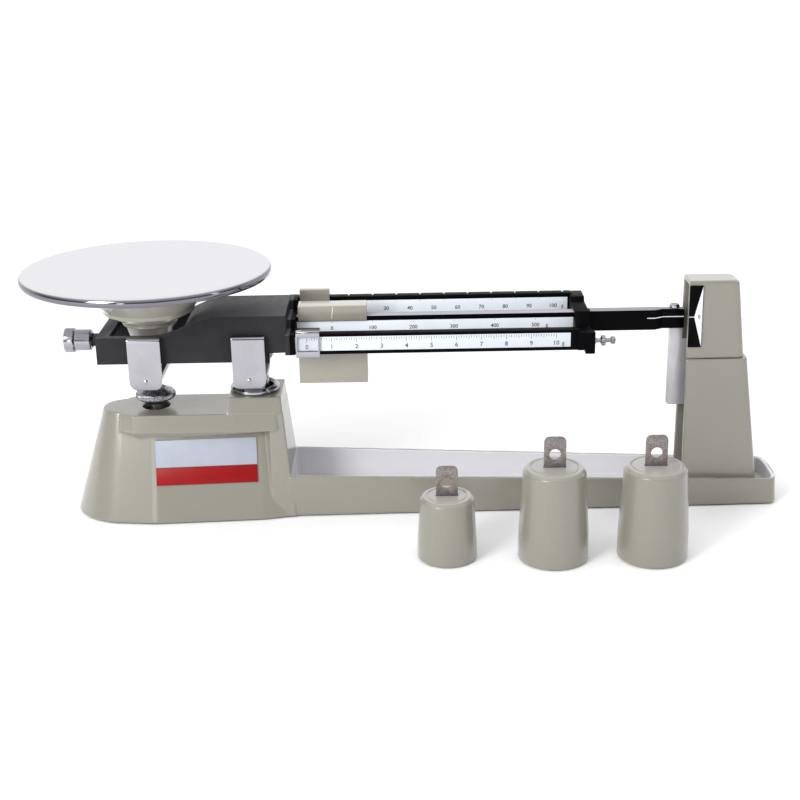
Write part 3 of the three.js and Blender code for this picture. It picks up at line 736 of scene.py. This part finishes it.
def base_casting():
    """The housing, its end block, band and boss, and the tray, hollow below and cast as one."""
    body = hull(
        level(housing_outline(FOOT_Z), FOOT_Z)
        + level(housing_outline(HOUSING_TOP), HOUSING_TOP)
    )
    boss = hull(
        level([(-107.5, -20.2), (-72.3, -20.2)], 64.5)
        + level([(-105.7, -18), (-73.3, -18)], BOSS_TOP)
    )
    rim = [(x, side * y, rim_height(x)) for x, y in tray_outline(TRAY_LIP) for side in (1, -1)]
    tray = hull(level(tray_outline(), FOOT_Z) + rim)
    cut(tray, hull(
        level(tray_outline(TRAY_WALL + TRAY_LIP, TRAY_LEFT - 1), TRAY_FLOOR)
        + level(tray_outline(TRAY_WALL, TRAY_LEFT - 1), 40)
    ))
    shell = join(body, pillar(), band(), boss, tray)
    cavity = hull(
        level(housing_outline(FOOT_Z, WALL), 0)
        + level(housing_outline(CAVITY_TOP, WALL), CAVITY_TOP)
    )
    below = hull(level(tray_outline(TRAY_WALL), 0) + level(tray_outline(TRAY_WALL), TRAY_HOLLOW))
    cut(shell, cavity, below)
    lug_places = [(x, side * y, 0) for x, y in FOOT_LUGS for side in (-1, 1)]
    lug = rod(LUG_RADIUS, LUG_FOOT, LUG_TOP)
    join(shell, *[lathe(lug, place, segments=40) for place in lug_places])
    cut(
        shell,
        lathe(rod(STEM_HOLE, 60, 70), (LOAD_X, 0, 0), segments=64),
        lathe(rod(RING_SEAT, 70.5, 80), (FULCRUM_X, 0, 0), segments=64),
        lathe(rod(POST_HOLE, 60, 72), (FULCRUM_X, 0, 0), segments=32),
        *[lathe(rod(SCREW_HOLE, 0, 10), (x, 0, 0), segments=24) for x in TOWER_SCREWS],
    )
    voxel = 0.7
    stand_in(cast(shell, voxel, CAST_ROUNDS), "base_casting", base_enamel())


def label_sheets():
    for node in ("label_upper", "label_lower"):
        refined(node, 0.12)


def feet():
    for node in [n for n in SLOT_OF if n.startswith("foot_")]:
        low, high = drawn_box(node)
        centre = ((low.x + high.x) / 2, (low.y + high.y) / 2, 0)
        profile = [(0, 0.3), (3.2, 0.3), (3.6, 0), (5.7, 0), (6.3, 1), (6.3, high.z), (0, high.z)]
        stand_in(turned(profile, 0.35, centre, segments=64), node)


# -------------------- brackets, covers and bearings

POST_RADIUS = 5


def pressed_cover(node):
    """A stamped sheet cover: lip folded over at the top, corners drawn in at the foot, one dimple."""
    low, high = drawn_box(node)
    centre_x = (low.x + high.x) / 2
    side = -1 if low.y < 0 else 1
    half = (high.x - low.x) / 2 - 0.35
    foot, corner, draw_in, tuck = low.z + 0.3, 6.0, 5.6, 1.6
    face, fold, lip = 29.55, 117.2, 118.6
    dimple_rise, dimple_spread, dimple_depth = 5.6, 1.1, 0.7
    # The section from the lip down the face to the foot, in rows that crowd together near the dimple.
    path = [(25.7, lip), (28.2, lip), (face - 0.45, lip - 0.45), (face, fold)]
    straight, arc = 36, 18
    for k in range(1, straight + 1):
        fall = 1 - (1 - k / straight) ** 1.7
        path.append((face, fold - (fold - foot - corner) * fall))
    for k in range(1, arc + 1):
        t = k / arc * math.pi / 2
        path.append((face - tuck * (1 - math.cos(t)), foot + corner - corner * math.sin(t)))
    columns = 41
    bm = bmesh.new()
    rows = []
    for y, z in path:
        drop = min(1.0, max(0.0, (foot + corner - z) / corner))
        width = half - draw_in * (1 - math.sqrt(1 - (0.985 * drop) ** 2))
        row = []
        for k in range(columns):
            across = 2 * k / (columns - 1) - 1
            x = width * across * (0.45 + 0.55 * across * across)
            spread = (x * x + (z - foot - dimple_rise) ** 2) / dimple_spread
            depth = y + dimple_depth * math.exp(-spread)
            row.append(bm.verts.new((centre_x + x, side * depth, z)))
        rows.append(row)
    for first, second in zip(rows, rows[1:]):
        for k in range(columns - 1):
            bm.faces.new((first[k], first[k + 1], second[k + 1], second[k]))
    obj = new_object(node, bm)
    if obj.data.polygons[len(obj.data.polygons) // 2].normal.y * side < 0:
        obj.data.flip_normals()
    solid = obj.modifiers.new("solid", "SOLIDIFY")
    solid.thickness = 0.9
    solid.offset = -1
    stand_in(shaded(bevelled(obj, 0.22, 2, 50), 40), node)


def fulcrum():
    """The yoke on its ring, and the bearings and covers at both pivots."""
    refined("fulcrum_yoke", 0.5)
    ring = [
        (11.6, 71), (12.6, 71), (12.6, 76.8), (15.5, 76.8),
        (15.5, 78.6), (14.2, 80), (12.6, 80), (11.6, 79),
    ]
    stand_in(turned(ring, 0.5, (FULCRUM_X, 0, 0), closed=True), "fulcrum_ring")
    for side in ("front", "rear"):
        refined(f"fulcrum_bearing_{side}", 0.2)
        pressed_cover(f"fulcrum_cover_{side}")
        refined(f"pan_bearing_{side}", 0.2)
        pressed_cover(f"pan_cover_{side}")


def linkage():
    """The check link with its bracket and pins, and the carrier's stem, post and yoke."""
    for node in ("link_bracket", "check_link"):
        refined(node, 0.4)
    for node, radius in (("link_pin", 2.4), ("stem_pin", 1.6)):
        low, high = drawn_box(node)
        middle = (low + high) / 2
        pin = turned(rod(radius, low.y, high.y), 0.3, (middle.x, 0, middle.z), "Y", 40)
        stand_in(pin, node)
    refined("pan_stem", 0.2)
    low, high = drawn_box("pan_post")
    post = turned(rod(POST_RADIUS, low.z, high.z), 0.4, (LOAD_X, 0, 0))
    stand_in(post, "pan_post")
    refined("pan_yoke", 0.5)


# -------------------- printing

# How far a printed mark stands out of its sheet, and how far its back is sunk into it.
PRINT_DEPTH, SUNK = 0.03, 0.02
# How far the outlines of the printed characters are swollen; the g would overlap itself with more.
DIGIT_STROKE, UNIT_STROKE = 0.055, 0.03


def tick_box(bm, x, width, low, high, face):
    """One printed mark, a thin closed box that stands just proud of the sheet."""
    left, right = x - width / 2, x + width / 2
    corners = ((left, low), (right, low), (right, high), (left, high))
    back = [bm.verts.new((across, face + SUNK, z)) for across, z in corners]
    front = [bm.verts.new((across, face - PRINT_DEPTH, z)) for across, z in corners]
    enclose(bm, front, back)


def digits(text, x, z, size, face):
    """Printed characters as a thin solid, centred on (x, z), facing -Y."""
    curve = bpy.data.curves.new("digits", "FONT")
    curve.body = text
    curve.size = size
    curve.align_x = "CENTER"
    curve.align_y = "CENTER"
    curve.extrude = PRINT_DEPTH / 2
    curve.resolution_u = 3
    curve.offset = UNIT_STROKE if text == "g" else DIGIT_STROKE
    obj = bpy.data.objects.new("digits", curve)
    scene.collection.objects.link(obj)
    depsgraph = bpy.context.evaluated_depsgraph_get()
    mesh = bpy.data.meshes.new_from_object(obj.evaluated_get(depsgraph))
    bpy.data.objects.remove(obj)
    bm = bmesh.new()
    bm.from_mesh(mesh)
    bmesh.ops.remove_doubles(bm, verts=bm.verts, dist=0.001)
    bmesh.ops.recalc_face_normals(bm, faces=bm.faces)
    bm.to_mesh(mesh)
    bm.free()
    on_sheet = Matrix.Translation((x, face - PRINT_DEPTH / 2 + SUNK / 2, z))
    upright = Matrix.Rotation(math.pi / 2, 4, "X")
    mesh.transform(on_sheet @ upright)
    return mesh


# -------------------- tower

TOWER_LEFT = 176.5
TOWER_FOOT, TOWER_SEAM, CAP_FOOT = 6.8, 94, 94.3
TOWER_WALL, TOWER_OPEN = 2.6, 5
CROWN_START, CROWN_HEIGHT, CROWN_PULL = 140, 3, 3
TOWER_TOP = CROWN_START + CROWN_HEIGHT


def tower_half(z):
    """Half of the tower's depth at a height."""
    half_at_top, slope = 9, 0.037
    return half_at_top + (TOWER_TOP - z) * slope


def tower_right(z):
    """X of the tower's right side at a height; the lower piece stands out further than the cap."""
    if z > TOWER_SEAM:
        return 207.6 + (142 - z) * 0.1
    return 214.6 + (92 - z) * 0.1206


def tower_outline(z, grow, inset=0.0, left=0.0, pull=0.0):
    """Front half of the tower's section at a height, rounded at the right."""
    radius, steps = 4, 6
    half = tower_half(z) + grow - inset
    right = tower_right(z) - inset - pull
    corner = []
    for k in range(steps + 1):
        t = k / steps * math.pi / 2
        corner.append((right - radius + radius * math.sin(t), -half + radius - radius * math.cos(t)))
    return [(TOWER_LEFT - left, -half), *corner]


def tower():
    """Two hollow castings, open to the left where the pointer enters, and what they hold."""
    voxel = 0.6
    crown = []
    for k in range(9):
        t = k / 8 * math.pi / 2
        drop = 1 - math.cos(t)
        z = CROWN_START + CROWN_HEIGHT * math.sin(t)
        crown += level(tower_outline(z, -0.6 * drop, pull=CROWN_PULL * drop), z)
    outer = hull(level(tower_outline(CAP_FOOT, 0), CAP_FOOT) + crown)
    inner = hull(
        level(tower_outline(CAP_FOOT, 0, TOWER_WALL, TOWER_OPEN), CAP_FOOT - 1.3)
        + level(tower_outline(134, 0, TOWER_WALL, TOWER_OPEN, 1.5), CROWN_START + 0.2)
    )
    # The cap's faces that look up carry a painted highlight.
    stand_in(cast(cut(outer, inner), voxel, CAST_ROUNDS), "tower_cap", TOP_LIT_ENAMEL)
    step = 0.9
    outer = hull(
        level(tower_outline(TOWER_FOOT, step), TOWER_FOOT)
        + level(tower_outline(TOWER_SEAM, step), TOWER_SEAM)
    )
    inner = hull(
        level(tower_outline(TOWER_FOOT, step, TOWER_WALL, TOWER_OPEN), TOWER_FOOT - 1.8)
        + level(tower_outline(TOWER_SEAM, step, TOWER_WALL, TOWER_OPEN), TOWER_SEAM + 2)
    )
    lower = join(cut(outer, inner), slab(183, 220, -13, 13, TOWER_FOOT, TOWER_FOOT + 3))
    cut(lower, *[lathe(rod(SCREW_HOLE, 0, 20), (x, 0, 0), segments=32) for x in TOWER_SCREWS])
    stand_in(cast(lower, voxel, CAST_ROUNDS), "tower_lower")
    for node in ("damper_magnet_front", "damper_magnet_rear", "magnet_keeper"):
        refined(node, 0.4)
    for node in ("tower_screw_left", "tower_screw_right"):
        refined(node, 0.3)


def index_plate():
    """Black plate with a white wedge that points at the zero line."""
    refined("index_plate", 0.1)
    low, high = drawn_box("index_plate")
    zero, thickness = 120.9, 0.6
    lean = (low.y + thickness - high.y) / (low.z - high.z)

    def on_face(x, z, proud):
        """The point of the plate's leaning front face at (x, z), or proud of it."""
        return (x, high.y - thickness + (z - high.z) * lean - proud, z)

    def marking(name, outline):
        bm = bmesh.new()
        front = [bm.verts.new(on_face(x, z, 0.06)) for x, z in outline]
        back = [bm.verts.new(on_face(x, z, -0.04)) for x, z in outline]
        enclose(bm, front, back)
        deliver(new_object(name, bm), name, "base", material=INDEX_WHITE)

    right = high.x - 0.25
    marking("index_wedge", [(right, low.z + 0.5), (right, high.z - 0.5), (low.x + 3.2, zero)])
    line_left, line_right = low.x + 0.2, low.x + 3.6
    line_low, line_high = zero - 0.2, zero + 0.2
    marking("index_zero_line", [
        (line_left, line_low), (line_right, line_low), (line_right, line_high), (line_left, line_high),
    ])
    figure = digits("0", 0, 0, 3.2, 0)
    leaning = Matrix(((1, 0, 0, 0), (0, 1, lean, 0), (0, 0, 1, 0), (0, 0, 0, 1)))
    figure.transform(Matrix.Translation(on_face(low.x + 6.2, zero, 0.09)) @ leaning)
    obj = bpy.data.objects.new("index_zero", figure)
    scene.collection.objects.link(obj)
    deliver(obj, "index_zero", "base", material=INK)


# -------------------- beam


def beam():
    """The beam casting with its knives and the vane on the pointer."""
    refined("beam_casting", 0.45)
    for node in ("fulcrum_knife", "load_knife_front", "load_knife_rear"):
        refined(node, 0.12)
    refined("damping_vane", 0.25)


def zero_stud():
    """A stud with its thread as plain grooves."""
    low, high = drawn_box("zero_stud")
    pitch, crest, root = 0.5, 2.5, 2.2
    thread = [(0, low.x)]
    for k in range(int((high.x - low.x) / pitch)):
        start = low.x + pitch * k
        thread += [(crest, start + 0.12), (root, start + 0.37)]
    thread.append((0, high.x))
    stand_in(lathe(thread, (0, 0, KNOB_Z), "X", 40), "zero_stud")


def pointer_screw():
    """A cheese-head screw with a slot."""
    low, high = drawn_box("pointer_screw")
    centre = (low + high) / 2
    head = high.z - 2.6
    slot_floor = high.z - 0.9
    profile = [
        (0, low.z), (1.2, low.z), (1.2, head), (3.2, head),
        (3.1, head + 1.2), (2.3, high.z - 0.5), (0, high.z),
    ]
    screw = turned(profile, 0.25, (centre.x, centre.y, 0), segments=48)
    slot = slab(centre.x - 4, centre.x + 4, centre.y - 0.4, centre.y + 0.4, slot_floor, high.z + 1)
    stand_in(shaded(cut(screw, slot)), "pointer_screw")


def hanging_stud():
    """The turned stud that the weights hang from, with a knurled collar."""
    low, high = drawn_box("hanging_stud")
    centre = (low + high) / 2
    profile = [
        (0, 114.5), (2, 114.5), (2, 118.4), (1.3, 118.8), (1.3, 121), (3.2, 121.6), (3.2, 123.8),
        (1.3, 124.4), (1.3, 127), (2.3, 127.6), (2.3, 129.4), (1.5, 130), (0, 130),
    ]
    stud = turned(profile, 0.25, (0, centre.y, centre.z), "X", 48, knurl=(0.18, 121.7, 123.7))
    stand_in(shaded(stud), "hanging_stud")


def strip_along(name, path, top, foot, proud, material):
    """A thin raised line that follows the front of the arm through (x, y, z shift) points."""
    bm = bmesh.new()
    rows = []
    for x, y, rise in path:
        corners = ((0, foot), (0, top), (proud, top), (proud, foot))
        rows.append([bm.verts.new((x, y + depth, z + rise)) for depth, z in corners])
    for first, second in zip(rows, rows[1:]):
        wall(bm, first, second)
    bm.faces.new(rows[0])
    bm.faces.new(reversed(rows[-1]))
    deliver(new_object(name, bm), name, "beam", material=material)


def index_line():
    """White line along the front of the pointer's tip, and the ridge that runs down to it."""
    step, tip, right = 157, 162.5, 175.6
    arm_front, tip_front = -4.06, -1.06
    line = [
        (step - 4.5, arm_front, 0), (step + 0.5, arm_front, 0),
        (tip + 0.5, tip_front, 0), (right, tip_front, 0),
    ]
    strip_along("pointer_line", line, 118.9, 118.4, 0.2, INDEX_WHITE)
    ridge = [
        (step - 3, arm_front, 2.6), (step, arm_front, 2.1),
        (tip, tip_front, 1.2), (right - 4, tip_front, 0.4),
    ]
    strip_along("pointer_ridge", ridge, 119.7, 119.2, 0.25, MATERIALS["black_paint"])


def print_scale(node, ticks, labels, size, sheet=None):
    """Prints a scale plate. ticks are (x, width, low, high), labels are (text, x, z)."""
    refined(node, 0.08, material=sheet)
    face = drawn_box(node)[0].y
    bm = bmesh.new()
    for x, width, low, high in ticks:
        tick_box(bm, x, width, low, high, face)
    for text, x, z in labels:
        bm.from_mesh(digits(text, x, z, size, face))
    name = node.replace("plate", "print")
    deliver(new_object(name, bm), name, "beam", material=INK)


def scales():
    """10 g in tenths on the front bar, 500 g in hundreds on the middle one, 100 g in tens behind."""
    low, high = drawn_box("scale_plate_front")
    zero, pitch = -55.4, 15.0
    top = high.z - 0.5
    lengths = [2.9 if k % 10 == 0 else 2.2 if k % 5 == 0 else 1.5 for k in range(101)]
    ticks = [(zero + pitch * k / 10, 0.26, top - length, top) for k, length in enumerate(lengths)]
    labels = [(str(k), zero + pitch * k, low.z + 2.5) for k in range(11)]
    labels.append(("g", zero + pitch * 10 + 4.2, low.z + 2.3))
    # The front plate gets the darker, painted-shade white.
    print_scale("scale_plate_front", ticks, labels, 3.8, SHADED_FRONT_SHEET)
    for which, count, value, zero, pitch, length, beside, rise, unit, size in (
        ("middle", 6, 100, -41.0, 25.0, 0.9, 0, 4.3, 7, 3.3),
        ("rear", 11, 10, -46.2, 15.0, 0.7, 6.5, 3.3, 6, 3.4),
    ):
        low, high = drawn_box(f"scale_plate_{which}")
        top = high.z - 0.3
        places = [zero + pitch * k for k in range(count)]
        ticks = [(x, 0.2, top - length, top) for x in places]
        labels = [(str(value * k), x - beside, low.z + rise) for k, x in enumerate(places)]
        labels.append(("g", places[-1] - beside + unit, low.z + rise - 0.1))
        print_scale(f"scale_plate_{which}", ticks, labels, size)


def zero_knob():
    """The knurled knob with its barrel, and the threaded insert inside."""
    low, high = drawn_box("zero_knob")
    left, right = low.x, high.x
    grip, barrel, bore = 7.7, 6.6, 4.5
    profile = [
        (0, left + 0.2), (5.6, left + 0.2), (6.2, left), (7.2, left), (grip, left + 0.6),
        (grip, left + 5.6), (7.2, left + 6.2), (barrel, left + 6.6), (barrel, right - 0.8),
        (5.9, right), (bore, right), (bore, left + 1.2), (0, left + 1.2),
    ]
    knurl = (0.22, left + 0.7, left + 5.5)
    knob = turned(profile, 0.2, (0, 0, KNOB_Z), "X", 144, knurl, steps=3)
    stand_in(shaded(knob, 30), "zero_knob")
    refined("zero_insert", 0.15)


def poises():
    """The three poises, the white line on the middle one and the window in the rider."""
    refined("rear_poise", 0.7, 3, PALE_ENAMEL)
    refined("middle_poise", 0.7, 3, PALE_ENAMEL)
    refined("front_rider", 0.2)
    bm = bmesh.new()
    face, proud, sunk = -5.4, 0.05, 0.2
    corners = ((-41.2, 122.4), (-40.8, 122.4), (-39.9, 129.6), (-40.3, 129.6))
    front = [bm.verts.new((x, face - proud, z)) for x, z in corners]
    back = [bm.verts.new((x, face + sunk, z)) for x, z in corners]
    enclose(bm, front, back)
    deliver(new_object("poise_index_line", bm), "poise_index_line", "middle_poise", material=INDEX_WHITE)
    front_face = drawn_box("front_rider")[0].y
    pane = slab(-61.2, -48.4, front_face + 0.35, front_face + 0.85, 107.7, 117.1)
    deliver(machined(pane, 0.08), "rider_window", "front_rider", material=clear_window())


# -------------------- pan and carrier


def pan():
    """A shallow dished pan with a rounded rim turned down, and its ring underneath."""
    low, high = drawn_box("pan")
    radius = (high.x - low.x) / 2
    top, lip = high.z, low.z
    under, dish = top - 1.2, 0.35
    middle, half, bulge = (top + lip) / 2, (top - lip) / 2, 2.2
    rim = []
    for k in range(13):
        t = math.radians(90 - 12.5 * k)
        rim.append((radius - bulge * (1 - math.cos(t)), middle + half * math.sin(t)))
    inside = radius - 2.6
    profile = [
        (0, under - dish), (inside - 3, under - 0.1), (inside - 0.6, under), (inside, under - 0.8),
        (inside, lip + 0.6), (radius - 1.9, lip + 0.2), *reversed(rim), (radius - 4.5, top - 0.05),
        (0, top - dish),
    ]
    stand_in(shaded(lathe(profile, (LOAD_X, 0, 0), segments=192), 50), "pan")
    low, high = drawn_box("pan_locating_ring")
    section = [(37.6, low.z), (39.3, low.z), (39.3, high.z), (37.6, high.z)]
    ring = turned(section, 0.3, (LOAD_X, 0, 0), closed=True)
    stand_in(shaded(ring), "pan_locating_ring")


def pan_carrier():
    """The cone that the pan rests on, and the round disc on the stem."""
    seat = drawn_box("pan_support_cone")[1].z
    profile = [
        (0, 113.5), (13, 113.5), (14.8, 120.2), (16.8, 120.6), (16.8, 121.8), (15.8, 122.6),
        (26.8, 128.2), (28, 128.8), (28, 130.8), (29.5, 132.6), (38, 143), (42, 149),
        (42, seat), (39.8, seat), (39.8, 149.6), (25.6, 132), (0, 129),
    ]
    cone = turned(profile, 1.0, (LOAD_X, 0, 0), segments=144)
    stand_in(shaded(cone, 50), "pan_support_cone", PALE_ENAMEL)
    section = [
        (3.9, 68.2), (4.6, 68.2), (11.4, 71.9), (12.4, 72.9),
        (12.4, 75), (11.4, 76.3), (6.5, 78.6), (3.9, 79),
    ]
    knurl = (0.3, 72.4, 75.4)
    disc = turned(section, 0.6, (LOAD_X, 0, 0), "Z", 160, knurl, steps=4, closed=True)
    stand_in(shaded(disc, 30), "stem_disc", rough_chrome())


# -------------------- weights


def weights():
    """Three turned weights, hollow below, with a groove round the top and a tab with an eye."""
    blued = tab_steel()
    for kind in ("small", "large_left", "large_right"):
        low, high = drawn_box(f"weight_{kind}_body")
        centre = (low + high) / 2
        foot, height = (high.x - low.x) / 2, high.z
        taper, bore = (1.6, 12.4) if kind == "small" else (2.3, 14.2)
        shoulder = foot - taper
        ring = shoulder - 4.6
        ceiling, groove, middle = height - 5.5, height - 0.45, height - 0.05
        profile = [
            (0, ceiling), (bore, ceiling), (bore, 0.3), (bore + 0.4, 0), (foot - 1.6, 0),
            (foot, 1.4), (foot - 0.1, height * 0.3), (shoulder, height - 2.2),
            (shoulder - 1.8, height), (ring + 0.9, height), (ring + 0.5, groove), (ring, groove),
            (ring - 0.4, middle), (0, middle),
        ]
        body = turned(profile, 1.1, (centre.x, centre.y, 0), segments=128)
        x0, x1, y0, y1 = centre.x - 6.6, centre.x + 6.6, centre.y - 1.1, centre.y + 1.1
        slot = slab(x0, x1, y0, y1, height - 3.6, height + 5)
        # The weights' faces that look up carry a painted highlight.
        stand_in(shaded(cut(body, slot), 40), f"weight_{kind}_body", TOP_LIT_ENAMEL)
        low, high = drawn_box(f"weight_{kind}_tab")
        half = (high.x - low.x) / 2
        left, right = centre.x - half, centre.x + half
        crown = [(right, low.z + 2), (right, high.z), (left, high.z), (left, low.z + 2)]
        outline = [(left, low.z), (right, low.z), *fillet(crown, 3.6, 6, closed=False)]
        tab = prism(outline, low.y, high.y, "Y")
        eye = lathe(rod(3.3, -5, 5), (centre.x, (low.y + high.y) / 2, height + 7.7), "Y", 48)
        stand_in(machined(cut(tab, eye), 0.22), f"weight_{kind}_tab", blued)


# -------------------- stage

BACKDROP_DIM, BACKDROP_BRIGHT = 0.22, 1.16
LENS, SENSOR_WIDTH = 63, 36
# In drawing millimetres and degrees.
CAMERA_PLACE = (0, -830.5, 357.8)
LOOKS_DOWN, CAMERA_ROLL = 19.3, -1


def floor():
    size = 6.0
    bm = bmesh.new()
    for x, y in ((-size, -size), (size, -size), (size, size), (-size, size)):
        bm.verts.new((x, y, 0))
    bm.faces.new(bm.verts)
    plane = new_object("floor", bm)
    plane.data.materials.append(floor_material())


def backdrop():
    """A white backdrop behind the object and a wide light overhead; the camera's side is dim."""
    world = bpy.data.worlds.new("studio")
    scene.world = world
    world.use_nodes = True
    nodes, links = world.node_tree.nodes, world.node_tree.links
    direction = nodes.new("ShaderNodeSeparateXYZ")
    links.new(nodes.new("ShaderNodeTexCoord").outputs["Generated"], direction.inputs["Vector"])

    def brightness(axis, start, end):
        """Dim where the direction's part along axis is below start, bright where it is above end."""
        node = nodes.new("ShaderNodeMapRange")
        node.interpolation_type = "SMOOTHSTEP"
        values = (start, end, BACKDROP_DIM, BACKDROP_BRIGHT)
        for socket, value in zip(("From Min", "From Max", "To Min", "To Max"), values):
            node.inputs[socket].default_value = value
        links.new(direction.outputs[axis], node.inputs["Value"])
        return node.outputs["Result"]

    brighter = nodes.new("ShaderNodeMath")
    brighter.operation = "MAXIMUM"
    links.new(brightness("Z", 0.15, 0.62), brighter.inputs[0])
    links.new(brightness("Y", -0.05, 0.5), brighter.inputs[1])
    # Seen directly, the backdrop is plain white all round.
    seen = nodes.new("ShaderNodeMix")
    links.new(nodes.new("ShaderNodeLightPath").outputs["Is Camera Ray"], seen.inputs["Factor"])
    links.new(brighter.outputs["Value"], seen.inputs[2])
    seen.inputs[3].default_value = BACKDROP_BRIGHT
    links.new(seen.outputs[0], nodes["Background"].inputs["Strength"])
    nodes["Background"].inputs["Color"].default_value = (1, 1, 1, 1)


def softbox(name, place, target, width, height, watts):
    """A rectangular light that faces a target; places and sizes in metres."""
    light = bpy.data.lights.new(name, "AREA")
    light.shape = "RECTANGLE"
    light.size, light.size_y = width, height
    light.energy = watts
    obj = bpy.data.objects.new(name, light)
    obj.location = place
    obj.rotation_euler = (Vector(target) - Vector(place)).to_track_quat("-Z", "Y").to_euler()
    scene.collection.objects.link(obj)


def lights():
    softbox("key", (-0.95, -1.15, 0.8), (0, 0, 0.05), width=0.5, height=0.9, watts=18)
    softbox("right_strip", (1.2, -0.45, 0.45), (0, 0, 0.08), width=0.15, height=0.8, watts=0.9)
    # A narrow strip that only the edge beside the label mirrors towards the camera.
    edge = datum + Vector((-153, -36, 35)) * MM
    strip = edge + Vector((-0.31, -1.235, 0.272))
    softbox("front_strip", strip, edge, width=0.12, height=0.5, watts=0.7)


def viewpoint():
    """The camera, in front of the balance and above it."""
    data = bpy.data.cameras.new("camera")
    data.lens = LENS
    data.sensor_width = SENSOR_WIDTH
    camera = bpy.data.objects.new("camera", data)
    tilt = Matrix.Rotation(math.radians(90 - LOOKS_DOWN), 4, "X")
    roll = Matrix.Rotation(math.radians(CAMERA_ROLL), 4, "Z")
    camera.matrix_world = Matrix.Translation(datum + Vector(CAMERA_PLACE) * MM) @ tilt @ roll
    scene.collection.objects.link(camera)
    scene.camera = camera
    scene.view_settings.view_transform = "Standard"


base_casting()
label_sheets()
feet()
fulcrum()
linkage()
tower()
index_plate()
beam()
zero_stud()
pointer_screw()
hanging_stud()
index_line()
scales()
zero_knob()
poises()
pan()
pan_carrier()
weights()
floor()
backdrop()
lights()
viewpoint()
